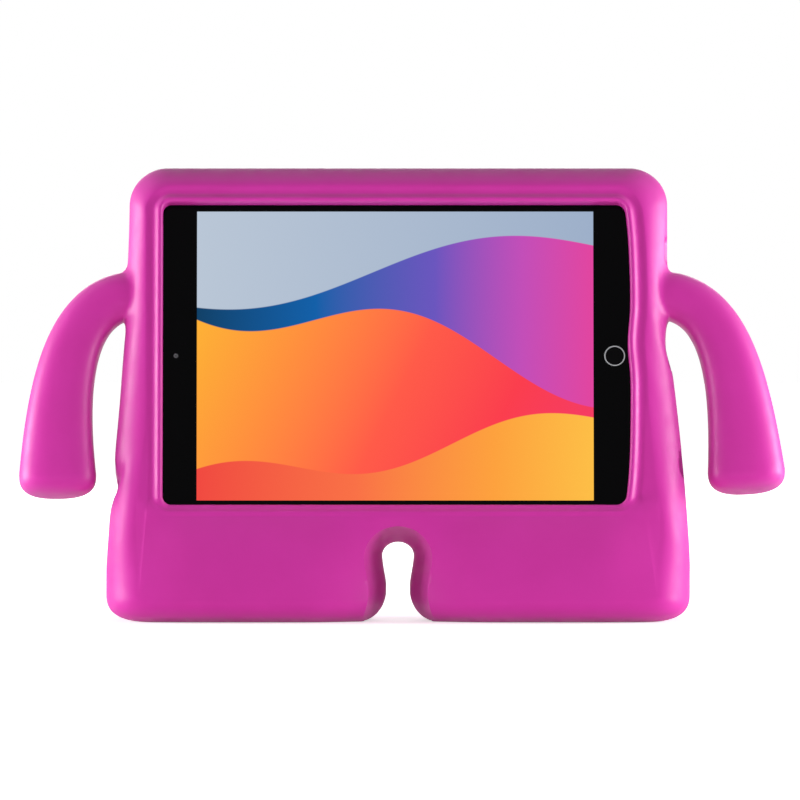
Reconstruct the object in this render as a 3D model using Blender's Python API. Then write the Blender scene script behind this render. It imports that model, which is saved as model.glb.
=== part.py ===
"""Foam tablet case with arms and legs, and the tablet in its pocket.

The shapes are laid out in the plane of the screen: u to the right, v up along the screen, w back
from the front of the case. place() leans that frame back and sets the soles flat on the floor.
All sizes are millimetres until place() turns them into metres.
"""

import math

import bpy
import bmesh
from mathutils import Matrix, Vector

# How the case stands
LEAN_DEG = 16.0

# Tablet
TABLET_LENGTH = 250.6
TABLET_WIDTH = 174.1
TABLET_THICKNESS = 7.5
TABLET_CORNER = 7.0
TABLET_BACK_ROUND = 4.0
TABLET_WALL = 1.0
TABLET_BACK_WALL = 0.8
RIM_SETBACK = 0.15
GLASS_THICKNESS = 0.7
DISPLAY_END_MARGIN = 17.8
DISPLAY_EDGE_MARGIN = 5.8
DISPLAY_THICKNESS = 2.4
HOME_INSET = 10.55
HOME_RING_RADIUS = 5.4
HOME_RING_WIDTH = 0.5
HOME_RING_DEPTH = 1.3
HOME_BUTTON_DEPTH = 1.5
HOME_SET_BACK = 0.1
BUTTON_TRAVEL = 0.25
SENSOR_BOARD_SIZE = 9.0
SENSOR_BOARD_THICKNESS = 0.4
FRONT_CAMERA_INSET = 10.95
FRONT_CAMERA_SIZE = 7.0
FRONT_CAMERA_DEPTH = 3.0
REAR_CAMERA_INSET = 12.6
REAR_CAMERA_RADIUS = 4.2
REAR_RING_WIDTH = 0.7
REAR_LENS_DEPTH = 0.7
REAR_MODULE_DEPTH = 3.2
KEY_WIDTH = 2.4
KEY_DEPTH = 3.2
KEY_PROUD = 0.6
POWER_KEY_LENGTH = 10.0
POWER_KEY_INSET = 20.0
VOLUME_KEY_LENGTH = 9.5
VOLUME_UP_INSET = 28.0
VOLUME_KEY_PITCH = 13.5
PORT_LENGTH = 9.0
PORT_HEIGHT = 2.4
PORT_DEPTH = 11.0
PORT_WALL = 0.5
PORT_SETBACK = 0.3
SOCKET_RADIUS = 2.4
SOCKET_BORE = 1.75
SOCKET_DEPTH = 12.0
SOCKET_SETBACK = 1.9
SOCKET_INSET = 17.0
SPEAKER_INSET = 30.05
SPEAKER_LENGTH = 34.0
SPEAKER_WIDTH = 20.0
SPEAKER_THICKNESS = 2.3
SPEAKER_SETBACK = 1.8
SOUND_HOLES = 8
SOUND_HOLE_RADIUS = 0.75
SOUND_HOLE_PITCH = 2.6
BATTERY_EDGE_MARGIN = 20.05
BATTERY_THICKNESS = 2.3
BATTERY_END_INSET = 57.3
BATTERY_GAP = 4.0
BOARD_LENGTH = 44.0
BOARD_EDGE_MARGIN = 27.05
BOARD_THICKNESS = 1.6
BOARD_END_INSET = 21.3
BOARD_GAP = 8.0
FIT = 0.3

# Window, bead and roll of the case
WINDOW_BOTTOM = 65.3
LIP_OVER_ENDS = 3.7
LIP_OVER_EDGES = 7.1
WINDOW_CORNER = 4.5
GLASS_SINK = 7.6
BEAD_RADIUS = 2.8
BEAD_SINK = 2.0
GROOVE_OUT = 7.2
GROOVE_SINK = 4.8
ROLL_START_OUT = 8.6
ROLL_START_SINK = 3.4
FRAME_SIDE = 18.8
CASE_OFFSET = 1.5
FRAME_TOP = 21.9
TOP_CORNER = 20.0
ROLL_INSET = 6.5
ROLL_DEPTH = 12.0

# Legs
FOOT_FLARE = 11.8
FLARE_TOP = 160.0
FLARE_BOTTOM = 32.0
FOOT_CORNER_WIDE = 27.0
FOOT_CORNER_HIGH = 17.0
FOOT_CORNER_POWER = 3.0
TOE_FORWARD = 12.0
TOE_TIP = 12.0
TOE_POWER = 1.8
TOE_EDGE_FADE = 28.0
LEG_ROLL_INSET = 13.0
LEG_ROLL_DEPTH = 19.0
LEG_SWELL_TOP = 98.0
LEG_SWELL_BOTTOM = 24.0
FOOT_MIDDLE = 78.0
NOTCH_HEIGHT = 42.3
NOTCH_HALF_TOP = 8.2
NOTCH_HALF_NARROW = 6.1
NOTCH_NARROW_AT = 17.0
NOTCH_CAP = 7.2
NOTCH_FOOT_FLARE = 14.0
NOTCH_EDGE_ROUND = 9.0

# Back of the case
BODY_THICKNESS = 28.0
FOOT_THICKNESS = 66.0
HEEL_TOP = 128.0
HEEL_BOTTOM = 14.0
BACK_ROUND = 8.0
BACK_PANEL_SINK = 3.0
BACK_PANEL_MARGIN = 18.0
BACK_PANEL_BOTTOM = 134.0
BACK_VALLEY = 0.55
BACK_VALLEY_WIDTH = 24.0

# Arms
ARM_ROOT_IN = 7.0
ARM_ROOT_HEIGHT = 179.8
LEFT_HAND_OUT = 37.4
LEFT_HAND_HEIGHT = 82.8
RIGHT_HAND_OUT = 41.5
RIGHT_HAND_HEIGHT = 85.2
ARM_BULGE = 29.0
ARM_ELBOW_OUT = 38.0
ARM_ELBOW_RISE = 56.0
ARM_GROWTH = 2.1
ARM_ROOT_HALF = 12.6
ARM_HAND_HALF = 20.2
ARM_HALF_DEPTH_ROOT = 11.0
ARM_HALF_DEPTH_HAND = 14.0
ARM_DEPTH_AT = 15.5
ARM_POWER = 2.5
HAND_CAP = 11.6
HAND_POWER = 2.8

# Openings and pads of the case
CAMERA_HOLE_RADIUS = 8.0
CAMERA_HOLE_FLARE = 4.0
PORT_SLOT_LENGTH = 16.0
SOUND_SLOT_LENGTH = 15.0
JACK_SLOT_LENGTH = 10.0
SLOT_HEIGHT = 7.2
SLOT_OVERRUN = 4.0
KEY_RELIEF = 1.3
PAD_HEIGHT = 0.8
PAD_HALF_WIDTH = 5.0

# Mesh counts
SIDE_STEPS = 14
TOP_STEPS = 16
BOTTOM_STEPS = 30
CORNER_STEPS = 7
ARM_STEPS = 14
ARM_SECTION = 22
ROUND_STEPS = 32

# Values worked out from the sizes above
LEAN = math.radians(LEAN_DEG)
DISPLAY_LENGTH = TABLET_LENGTH - 2 * DISPLAY_END_MARGIN
DISPLAY_WIDTH = TABLET_WIDTH - 2 * DISPLAY_EDGE_MARGIN
HOME_AT = TABLET_LENGTH / 2 - HOME_INSET
FRONT_CAMERA_AT = TABLET_LENGTH / 2 - FRONT_CAMERA_INSET
SPEAKER_OFFSET = TABLET_WIDTH / 2 - SPEAKER_INSET
BOARD_AT = BOARD_END_INSET + BOARD_LENGTH / 2 - TABLET_LENGTH / 2
BATTERY_START = BOARD_AT + BOARD_LENGTH / 2 + BOARD_GAP
BATTERY_END = TABLET_LENGTH / 2 - BATTERY_END_INSET
BATTERY_LENGTH = (BATTERY_END - BATTERY_START - BATTERY_GAP) / 2
LEG_TOP = WINDOW_BOTTOM - ROLL_START_OUT
WINDOW_HALF = TABLET_LENGTH / 2 - LIP_OVER_ENDS
WINDOW_TOP = WINDOW_BOTTOM + TABLET_WIDTH - 2 * LIP_OVER_EDGES
TABLET_MIDDLE = (WINDOW_BOTTOM + WINDOW_TOP) / 2
BODY_HALF = WINDOW_HALF + FRAME_SIDE
BODY_TOP = WINDOW_TOP + FRAME_TOP
FOOT_HALF = BODY_HALF + FOOT_FLARE
POCKET_HALF = TABLET_LENGTH / 2 + FIT
POCKET_HALF_HIGH = TABLET_WIDTH / 2 + FIT
LIP_UNDER = GLASS_SINK - FIT
POCKET_FLOOR = GLASS_SINK + TABLET_THICKNESS + FIT
TABLET_BACK = GLASS_SINK + TABLET_THICKNESS
CAVITY_FRONT = GLASS_SINK + GLASS_THICKNESS
CAVITY_BACK = TABLET_BACK - TABLET_BACK_WALL
KEY_AT = GLASS_SINK + TABLET_THICKNESS * 0.52
SHELF_AT = CAVITY_FRONT + FIT + DISPLAY_THICKNESS + FIT


def clear_scene():
    """Remove everything that the file starts with."""
    for item in list(bpy.data.objects):
        bpy.data.objects.remove(item, do_unlink=True)


def smooth(t):
    """Ease from 0 to 1 with flat ends."""
    t = min(max(t, 0.0), 1.0)
    return t * t * (3.0 - 2.0 * t)


def toe(u, v):
    """How far the front of a leg stands forward."""
    t = min(max((v - TOE_TIP) / (LEG_TOP - TOE_TIP), 0.0), 1.0)
    full = smooth((WINDOW_HALF - abs(u)) / TOE_EDGE_FADE + 0.5)
    rise = full * (1.0 - t ** TOE_POWER) + (1.0 - full) * (1.0 - smooth(t))
    across = (abs(u) - FOOT_MIDDLE) / FOOT_MIDDLE
    return TOE_FORWARD * rise * (1.0 - 0.45 * across * across)


def thickness(u, v):
    """Depth of the case from its front plane to its back."""
    heel = 1.0 - smooth((v - HEEL_BOTTOM) / (HEEL_TOP - HEEL_BOTTOM))
    valley = 1.0 - BACK_VALLEY * math.exp(-((u / BACK_VALLEY_WIDTH) ** 2))
    return BODY_THICKNESS + (FOOT_THICKNESS - BODY_THICKNESS) * heel * valley


def lean_back(u, v, w):
    """Turn screen-plane millimetres into a leaned-back point in metres."""
    y = v * math.sin(LEAN) + w * math.cos(LEAN)
    z = v * math.cos(LEAN) - w * math.sin(LEAN)
    return Vector((u, y, z)) * 0.001


def place(u, v, w):
    """Point of the moulded foam: toes forward, soles flat, then leaned back."""
    depth = max(thickness(u, v), 1.0)
    forward = toe(u, v) * (1.0 - smooth(w / depth))
    w_out = w - forward
    sole = 1.0 - smooth(v / LEG_TOP)
    v_out = v + w_out * math.tan(LEAN) * sole
    return lean_back(u + CASE_OFFSET, v_out, w_out)


def place_notch(u, v, w):
    """Point of the notch's walls: as place(), but with every depth line level with the floor."""
    forward = toe(u, v) * (1.0 - smooth(w / thickness(u, v)))
    w_out = w - forward
    return lean_back(u + CASE_OFFSET, v + w_out * math.tan(LEAN), w_out)


def material(name, colour, metallic, roughness):
    """Make a plain Principled material."""
    item = bpy.data.materials.new(name)
    item.use_nodes = True
    shader = item.node_tree.nodes["Principled BSDF"]
    shader.inputs["Base Color"].default_value = (*colour, 1.0)
    shader.inputs["Metallic"].default_value = metallic
    shader.inputs["Roughness"].default_value = roughness
    return item


def new_object(name, mesh_data, skin, round_shape):
    """Put a finished bmesh into the scene as one named object."""
    bmesh.ops.recalc_face_normals(mesh_data, faces=mesh_data.faces)
    mesh = bpy.data.meshes.new(name)
    mesh_data.to_mesh(mesh)
    mesh_data.free()
    if skin is not None:
        mesh.materials.append(skin)
    for face in mesh.polygons:
        face.use_smooth = round_shape
    item = bpy.data.objects.new(name, mesh)
    bpy.context.scene.collection.objects.link(item)
    return item


def loft(name, rings, skin, round_shape=True):
    """Skin a list of closed rings, with a flat cap on the first and the last."""
    data = bmesh.new()
    rows = [[data.verts.new(point) for point in ring] for ring in rings]
    for low, high in zip(rows, rows[1:]):
        count = len(low)
        for i in range(count):
            j = (i + 1) % count
            data.faces.new((low[i], low[j], high[j], high[i]))
    data.faces.new(rows[0])
    data.faces.new(list(reversed(rows[-1])))
    return new_object(name, data, skin, round_shape)


def cut(target, cutter):
    """Cut one shape out of another and keep the result in the mesh."""
    combine(target, cutter, "DIFFERENCE")


def combine(target, tool, operation):
    """Apply an exact Boolean and drop the tool."""
    step = target.modifiers.new("shape", "BOOLEAN")
    step.operation = operation
    step.solver = "EXACT"
    step.object = tool
    graph = bpy.context.evaluated_depsgraph_get()
    result = bpy.data.meshes.new_from_object(target.evaluated_get(graph))
    target.modifiers.clear()
    old = target.data
    target.data = result
    bpy.data.meshes.remove(old)
    bpy.data.objects.remove(tool, do_unlink=True)


def framed(half_wide, low, high, corner):
    """Rounded rectangle whose points match those of the body outline."""
    points = []
    for i in range(BOTTOM_STEPS):
        t = i / BOTTOM_STEPS
        points.append((-(half_wide - corner) + 2 * (half_wide - corner) * t, low))
    for i in range(CORNER_STEPS):
        a = math.radians(-90.0 + 90.0 * i / CORNER_STEPS)
        points.append((half_wide - corner + corner * math.cos(a), low + corner + corner * math.sin(a)))
    for i in range(SIDE_STEPS):
        t = i / SIDE_STEPS
        points.append((half_wide, low + corner + (high - low - 2 * corner) * t))
    for i in range(CORNER_STEPS):
        a = math.radians(90.0 * i / CORNER_STEPS)
        points.append((half_wide - corner + corner * math.cos(a), high - corner + corner * math.sin(a)))
    for i in range(TOP_STEPS):
        t = i / TOP_STEPS
        points.append((half_wide - corner - 2 * (half_wide - corner) * t, high))
    for i in range(CORNER_STEPS):
        a = math.radians(90.0 + 90.0 * i / CORNER_STEPS)
        points.append((-(half_wide - corner) + corner * math.cos(a), high - corner + corner * math.sin(a)))
    for i in range(SIDE_STEPS):
        t = i / SIDE_STEPS
        points.append((-half_wide, high - corner - (high - low - 2 * corner) * t))
    for i in range(CORNER_STEPS):
        a = math.radians(180.0 + 90.0 * i / CORNER_STEPS)
        points.append((-(half_wide - corner) + corner * math.cos(a), low + corner + corner * math.sin(a)))
    return points


def side_half(v):
    """Half width of the body at a height, flaring out to the feet."""
    t = min(max((FLARE_TOP - v) / (FLARE_TOP - FLARE_BOTTOM), 0.0), 1.0)
    return BODY_HALF + FOOT_FLARE * 0.5 * (t + math.sin(t * math.pi / 2))


def leg_swell(v):
    """Share of the legs' larger rounding at a height: 1 at the feet, 0 along the frame."""
    return 1.0 - smooth((v - LEG_SWELL_BOTTOM) / (LEG_SWELL_TOP - LEG_SWELL_BOTTOM))


def body_outline(frame_inset=0.0, leg_inset=0.0):
    """Closed outline of the body and legs without the notch, drawn in by one distance at the frame
    and by another at the legs."""
    points = []
    sole = FOOT_HALF - FOOT_CORNER_WIDE
    for i in range(BOTTOM_STEPS):
        points.append((-sole + 2 * sole * i / BOTTOM_STEPS, leg_inset))
    right = []
    for i in range(CORNER_STEPS):
        a = math.radians(90.0 * i / CORNER_STEPS)
        u = sole + (FOOT_CORNER_WIDE - leg_inset) * math.sin(a) ** (2 / FOOT_CORNER_POWER)
        v = leg_inset + (FOOT_CORNER_HIGH - leg_inset) * (1.0 - math.cos(a) ** (2 / FOOT_CORNER_POWER))
        right.append((u, v))
    for i in range(SIDE_STEPS):
        v = FOOT_CORNER_HIGH + (BODY_TOP - TOP_CORNER - FOOT_CORNER_HIGH) * i / SIDE_STEPS
        drawn = frame_inset + (leg_inset - frame_inset) * leg_swell(v)
        right.append((side_half(v) - drawn, v))
    corner = TOP_CORNER - frame_inset
    for i in range(CORNER_STEPS):
        a = math.radians(90.0 * i / CORNER_STEPS)
        right.append((
            BODY_HALF - TOP_CORNER + corner * math.cos(a),
            BODY_TOP - TOP_CORNER + corner * math.sin(a),
        ))
    points.extend(right)
    across = BODY_HALF - TOP_CORNER
    for i in range(TOP_STEPS):
        points.append((across - 2 * across * i / TOP_STEPS, BODY_TOP - frame_inset))
    points.append((-across, BODY_TOP - frame_inset))
    points.extend((-u, v) for u, v in reversed(right[1:]))
    return points


def blend(a, b, t):
    """Points part of the way from one outline to another."""
    return [(p[0] + (q[0] - p[0]) * t, p[1] + (q[1] - p[1]) * t) for p, q in zip(a, b)]


def window(out):
    """Window outline grown by a distance."""
    return framed(WINDOW_HALF + out, WINDOW_BOTTOM - out, WINDOW_TOP + out, WINDOW_CORNER + out)


def flat(points, w):
    """Ring at one depth of the unbent frame, for the window and the back panel."""
    return [lean_back(u + CASE_OFFSET, v, w) for u, v in points]


def from_back(points, forward):
    """Ring at a distance in front of the back surface."""
    return [place(u, v, thickness(u, v) - forward) for u, v in points]


def roll_depth(v):
    """Depth over which the front edge is rounded."""
    return ROLL_DEPTH + (LEG_ROLL_DEPTH - ROLL_DEPTH) * leg_swell(v)


def foam_body(skin):
    """Body of the case with window lip, pocket, roll, legs and back."""
    pocket = framed(
        POCKET_HALF,
        TABLET_MIDDLE - POCKET_HALF_HIGH,
        TABLET_MIDDLE + POCKET_HALF_HIGH,
        TABLET_CORNER + FIT,
    )
    rings = [[lean_back(u, v, w) for u, v in pocket] for w in (POCKET_FLOOR, LIP_UNDER)]
    rings.append(flat(window(0.3), LIP_UNDER))
    rings.append(flat(window(0.0), LIP_UNDER - 1.0))
    bead_middle = BEAD_SINK + BEAD_RADIUS
    for angle in (15, 50, 90, 130, 165):
        a = math.radians(angle)
        out = BEAD_RADIUS * (1.0 - math.cos(a)) + 0.2
        rings.append(flat(window(out), bead_middle - BEAD_RADIUS * math.sin(a)))
    rings.append(flat(window(GROOVE_OUT), GROOVE_SINK))
    start = window(ROLL_START_OUT)
    outline = body_outline()
    apex = body_outline(ROLL_INSET, LEG_ROLL_INSET)
    for t in (1.0, 0.84, 0.66, 0.46, 0.24):
        sink = ROLL_START_SINK * (1.0 - math.sqrt(1.0 - (0.97 * t) ** 2)) / 0.757
        rings.append([place(u, v, sink) for u, v in blend(apex, start, t)])
    for angle in (90, 70, 52, 36, 18, 0):
        a = math.radians(angle)
        near = 1.0 - math.cos(a)
        ring = body_outline(ROLL_INSET * near, LEG_ROLL_INSET * near)
        rings.append([place(u, v, roll_depth(v) * (1.0 - math.sin(a))) for u, v in ring])
    for t in (0.35, 0.7):
        ring = []
        for u, v in outline:
            front = roll_depth(v)
            ring.append(place(u, v, front + (thickness(u, v) - BACK_ROUND - front) * t))
        rings.append(ring)
    for angle in (0, 22, 45, 68, 90):
        a = math.radians(angle)
        near = BACK_ROUND * (1.0 - math.cos(a))
        rings.append(from_back(body_outline(near, near), BACK_ROUND * (1.0 - math.sin(a))))
    back_edge = body_outline(BACK_ROUND, BACK_ROUND)
    panel_half = BODY_HALF - BACK_PANEL_MARGIN
    panel_top = BODY_TOP - BACK_PANEL_MARGIN
    panel = framed(panel_half, BACK_PANEL_BOTTOM, panel_top, 12.0)
    for t in (0.14, 0.3, 0.46, 0.62, 0.78, 0.9, 1.0):
        rings.append(from_back(blend(back_edge, panel, t), 0.0))
    for turn, drop in ((1.2, 0.3), (2.6, 1.0)):
        ring = framed(panel_half - turn, BACK_PANEL_BOTTOM + turn, panel_top - turn, 12.0 - turn)
        rings.append(flat(ring, BODY_THICKNESS - BACK_PANEL_SINK * drop))
    return loft("foam_case", rings, skin)


def arm(side):
    """One arm, from inside the body side to the rounded hand."""
    root = Vector((BODY_HALF - ARM_ROOT_IN, ARM_ROOT_HEIGHT))
    out, height = ((RIGHT_HAND_OUT, RIGHT_HAND_HEIGHT) if side > 0 else (LEFT_HAND_OUT, LEFT_HAND_HEIGHT))
    hand = Vector((BODY_HALF + out, height))
    shoulder = Vector((BODY_HALF + ARM_BULGE, ARM_ROOT_HEIGHT + 1.0))
    elbow = Vector((BODY_HALF + ARM_ELBOW_OUT, hand.y + ARM_ELBOW_RISE))
    stations = []
    for i in range(ARM_STEPS + 1):
        t = i / ARM_STEPS
        k = 1.0 - t
        middle = root * k ** 3 + shoulder * 3 * k * k * t + elbow * 3 * k * t * t + hand * t ** 3
        along = (shoulder - root) * k * k + (elbow - shoulder) * 2 * k * t + (hand - elbow) * t * t
        grow = t ** ARM_GROWTH
        half = ARM_ROOT_HALF + (ARM_HAND_HALF - ARM_ROOT_HALF) * grow
        deep = ARM_HALF_DEPTH_ROOT + (ARM_HALF_DEPTH_HAND - ARM_HALF_DEPTH_ROOT) * grow
        stations.append((middle, along.normalized(), half, deep))
    end, along, half, deep = stations[-1]
    for reach in (0.35, 0.62, 0.82, 0.94, 1.0):
        keep = max(1.0 - reach ** HAND_POWER, 0.0) ** (1.0 / HAND_POWER)
        keep = max(keep, 0.4)
        stations.append((end + along * HAND_CAP * reach, along, half * keep, deep * keep))
    rings = []
    for middle, along, half, deep in stations:
        across = Vector((-along.y, along.x))
        ring = []
        for i in range(ARM_SECTION):
            a = 2 * math.pi * (i + 0.5) / ARM_SECTION
            c = math.copysign(abs(math.cos(a)) ** (2 / ARM_POWER), math.cos(a))
            s = math.copysign(abs(math.sin(a)) ** (2 / ARM_POWER), math.sin(a))
            spot = middle + across * half * c
            ring.append(lean_back(side * spot.x + CASE_OFFSET, spot.y, ARM_DEPTH_AT + deep * s))
        rings.append(ring)
    return loft("arm_tool", rings, None)


def notch_outline(grow):
    """Gap between the legs as a closed outline, grown by a distance."""
    right = [(NOTCH_HALF_NARROW + NOTCH_FOOT_FLARE + grow, -30.0)]
    for angle in (80, 68, 56, 44, 32, 20, 8):
        a = math.radians(angle)
        half = NOTCH_HALF_NARROW + NOTCH_FOOT_FLARE * (1.0 - math.cos(a))
        right.append((half + grow, NOTCH_NARROW_AT * (1.0 - math.sin(a))))
    cap_at = NOTCH_HEIGHT - NOTCH_CAP
    right.append(((NOTCH_HALF_NARROW + NOTCH_HALF_TOP) / 2 + grow, (NOTCH_NARROW_AT + cap_at) / 2))
    for angle in (0, 18, 36, 54, 72):
        a = math.radians(angle)
        right.append(((NOTCH_HALF_TOP + grow) * math.cos(a), cap_at + (NOTCH_CAP + grow) * math.sin(a)))
    top = [(0.0, cap_at + NOTCH_CAP + grow)]
    return right + top + [(-u, v) for u, v in reversed(right)]


def notch_tool():
    """Cutter for the notch, flared so that its front and back edges come out rounded."""
    r = NOTCH_EDGE_ROUND
    rings = [[place_notch(u, v, -26.0) for u, v in notch_outline(r * 1.05)]]
    depths = (0.25, 0.8, 1.8, 3.2, 5.0, 7.0, r)
    for depth in depths:
        grow = r - math.sqrt(max(r * r - (r - depth) ** 2, 0.0))
        rings.append([place_notch(u, v, depth) for u, v in notch_outline(grow)])
    for depth in reversed(depths):
        grow = r - math.sqrt(max(r * r - (r - depth) ** 2, 0.0))
        rings.append([place_notch(u, v, thickness(u, v) - depth) for u, v in notch_outline(grow)])
    rings.append([place_notch(u, v, thickness(u, v) + 20.0) for u, v in notch_outline(r * 1.05)])
    return loft("notch_tool", rings, None)


def slot_tool(middle, length, height, across, reach):
    """Stadium-shaped cutter or key, long along one screen direction and pushed along another."""
    half = height / 2
    straight = max(length / 2 - half, 0.0)
    ring = []
    for i in range(12):
        a = math.pi * (i / 11.0) - math.pi / 2
        ring.append((straight + half * math.cos(a), half * math.sin(a)))
    ring += [(-x, -y) for x, y in ring]
    rings = []
    for step in reach:
        if across:
            rings.append([lean_back(step, middle[0] + x, middle[1] + y) for x, y in ring])
        else:
            rings.append([lean_back(middle[0] + x, step, middle[1] + y) for x, y in ring])
    return rings


def disc_rings(u, v, steps, count=ROUND_STEPS):
    """Circles about an axis along w, one for each radius and depth."""
    turns = [2 * math.pi * i / count for i in range(count)]
    rings = []
    for radius, w in steps:
        rings.append([lean_back(u + radius * math.cos(a), v + radius * math.sin(a), w) for a in turns])
    return rings


def rod_rings(v, w, steps, count=ROUND_STEPS):
    """Circles about an axis along u, one for each radius and position."""
    turns = [2 * math.pi * i / count for i in range(count)]
    rings = []
    for radius, u in steps:
        rings.append([lean_back(u, v + radius * math.cos(a), w + radius * math.sin(a)) for a in turns])
    return rings


def tube(name, rings, skin):
    """Skin rings into a closed loop, so that the last ring meets the first."""
    data = bmesh.new()
    rows = [[data.verts.new(point) for point in ring] for ring in rings]
    for low, high in zip(rows, rows[1:] + rows[:1]):
        count = len(low)
        for i in range(count):
            j = (i + 1) % count
            data.faces.new((low[i], low[j], high[j], high[i]))
    return new_object(name, data, skin, True)


def slab(name, u, v, w, size, skin, corner=1.0):
    """Flat block with rounded corners; w is its front face."""
    ring = []
    half_u = size[0] / 2
    half_v = size[1] / 2
    for cu, cv, first in ((1, -1, -90), (1, 1, 0), (-1, 1, 90), (-1, -1, 180)):
        for i in range(4):
            a = math.radians(first + 30 * i)
            ring.append((
                u + cu * (half_u - corner) + corner * math.cos(a),
                v + cv * (half_v - corner) + corner * math.sin(a),
            ))
    rings = [[lean_back(x, y, depth) for x, y in ring] for depth in (w, w + size[2])]
    return loft(name, rings, skin, False)


def plate_ring(shrink, w):
    """Tablet outline shrunk by a distance, at a depth."""
    half_u = TABLET_LENGTH / 2 - shrink
    half_v = TABLET_WIDTH / 2 - shrink
    corner = max(TABLET_CORNER - shrink, 0.8)
    ring = []
    for cu, cv, first in ((1, -1, -90), (1, 1, 0), (-1, 1, 90), (-1, -1, 180)):
        for i in range(9):
            a = math.radians(first + 11.25 * i)
            x = cu * (half_u - corner) + corner * math.cos(a)
            y = cv * (half_v - corner) + corner * math.sin(a)
            ring.append(lean_back(x, TABLET_MIDDLE + y, w))
    return ring


def upper_edge():
    """Height of the tablet's top edge."""
    return TABLET_MIDDLE + TABLET_WIDTH / 2


def power_height():
    """Height of the power key's middle."""
    return upper_edge() - POWER_KEY_INSET


def rear_camera_spot():
    """Middle of the rear camera in the screen plane."""
    return -(TABLET_LENGTH / 2 - REAR_CAMERA_INSET), upper_edge() - REAR_CAMERA_INSET


def volume_spots():
    """Middles of the two volume keys along the top edge."""
    first = -(TABLET_LENGTH / 2 - VOLUME_UP_INSET)
    return first, first + VOLUME_KEY_PITCH


def key_shape(name, middle, length, side, skin):
    """Travelling key that stands a little proud of the tablet's edge."""
    if side == "left":
        edge = -TABLET_LENGTH / 2
        reach = (edge + KEY_DEPTH - KEY_PROUD, edge - KEY_PROUD)
        rings = slot_tool((middle, KEY_AT), length, KEY_WIDTH, True, reach)
    else:
        edge = upper_edge()
        reach = (edge - KEY_DEPTH + KEY_PROUD, edge + KEY_PROUD)
        rings = slot_tool((middle, KEY_AT), length, KEY_WIDTH, False, reach)
    return loft(name, rings, skin, False)


def cut_case_openings(case):
    """Camera hole, port, sound and headphone slots, and reliefs over the keys."""
    u, v = rear_camera_spot()
    flare = CAMERA_HOLE_RADIUS + CAMERA_HOLE_FLARE
    steps = (
        (CAMERA_HOLE_RADIUS, POCKET_FLOOR - 2.0),
        (CAMERA_HOLE_RADIUS, POCKET_FLOOR + 3.0),
        (flare, BODY_THICKNESS + 1.0),
    )
    cut(case, loft("camera_tool", disc_rings(u, v, steps), None))
    inner = POCKET_HALF - 3.0
    slot_at = (LIP_UNDER + POCKET_FLOOR) / 2
    for middle, length, side in (
        (TABLET_MIDDLE, PORT_SLOT_LENGTH, 1),
        (TABLET_MIDDLE + SPEAKER_OFFSET, SOUND_SLOT_LENGTH, 1),
        (TABLET_MIDDLE - SPEAKER_OFFSET, SOUND_SLOT_LENGTH, 1),
        (TABLET_MIDDLE - TABLET_WIDTH / 2 + SOCKET_INSET, JACK_SLOT_LENGTH, -1),
    ):
        outer = side_half(middle) + SLOT_OVERRUN
        rings = slot_tool((middle, slot_at), length, SLOT_HEIGHT, True, (side * inner, side * outer))
        cut(case, loft("slot_tool", rings, None))
    low = POCKET_HALF - 3.0
    reach = (-low, -(POCKET_HALF + KEY_RELIEF))
    rings = slot_tool((power_height(), KEY_AT), POWER_KEY_LENGTH + 3.0, KEY_WIDTH + 2.0, True, reach)
    cut(case, loft("power_relief", rings, None))
    first, second = volume_spots()
    reach = (upper_edge() - 3.0, upper_edge() + FIT + KEY_RELIEF)
    length = second - first + VOLUME_KEY_LENGTH + 3.0
    rings = slot_tool(((first + second) / 2, KEY_AT), length, KEY_WIDTH + 2.0, False, reach)
    cut(case, loft("volume_relief", rings, None))


def pad(u, v, half_u, half_v, half_w):
    """Low raised pad as a squashed ball."""
    data = bmesh.new()
    bmesh.ops.create_uvsphere(data, u_segments=20, v_segments=10, radius=1.0)
    for point in data.verts:
        x, y, z = point.co
        point.co = lean_back(u + x * half_u, v + y * half_v, KEY_AT + z * half_w)
    return new_object("pad_tool", data, None, True)


def add_case_pads(case):
    """Raised pads on the outside, over the tablet's keys."""
    sunk = 3.0
    length = POWER_KEY_LENGTH / 2 + 5.0
    spot = CASE_OFFSET - (BODY_HALF - sunk)
    combine(case, pad(spot, power_height(), sunk + PAD_HEIGHT, length, PAD_HALF_WIDTH), "UNION")
    first, second = volume_spots()
    length = (second - first + VOLUME_KEY_LENGTH) / 2 + 5.0
    middle = (first + second) / 2
    spot = BODY_TOP - sunk
    combine(case, pad(middle, spot, length, sunk + PAD_HEIGHT, PAD_HALF_WIDTH), "UNION")


def build_case(skin):
    """The one moulded foam piece."""
    case = foam_body(skin)
    combine(case, arm(1), "UNION")
    combine(case, arm(-1), "UNION")
    cut(case, notch_tool())
    add_case_pads(case)
    cut_case_openings(case)
    for face in case.data.polygons:
        face.use_smooth = True
    return case


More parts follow.
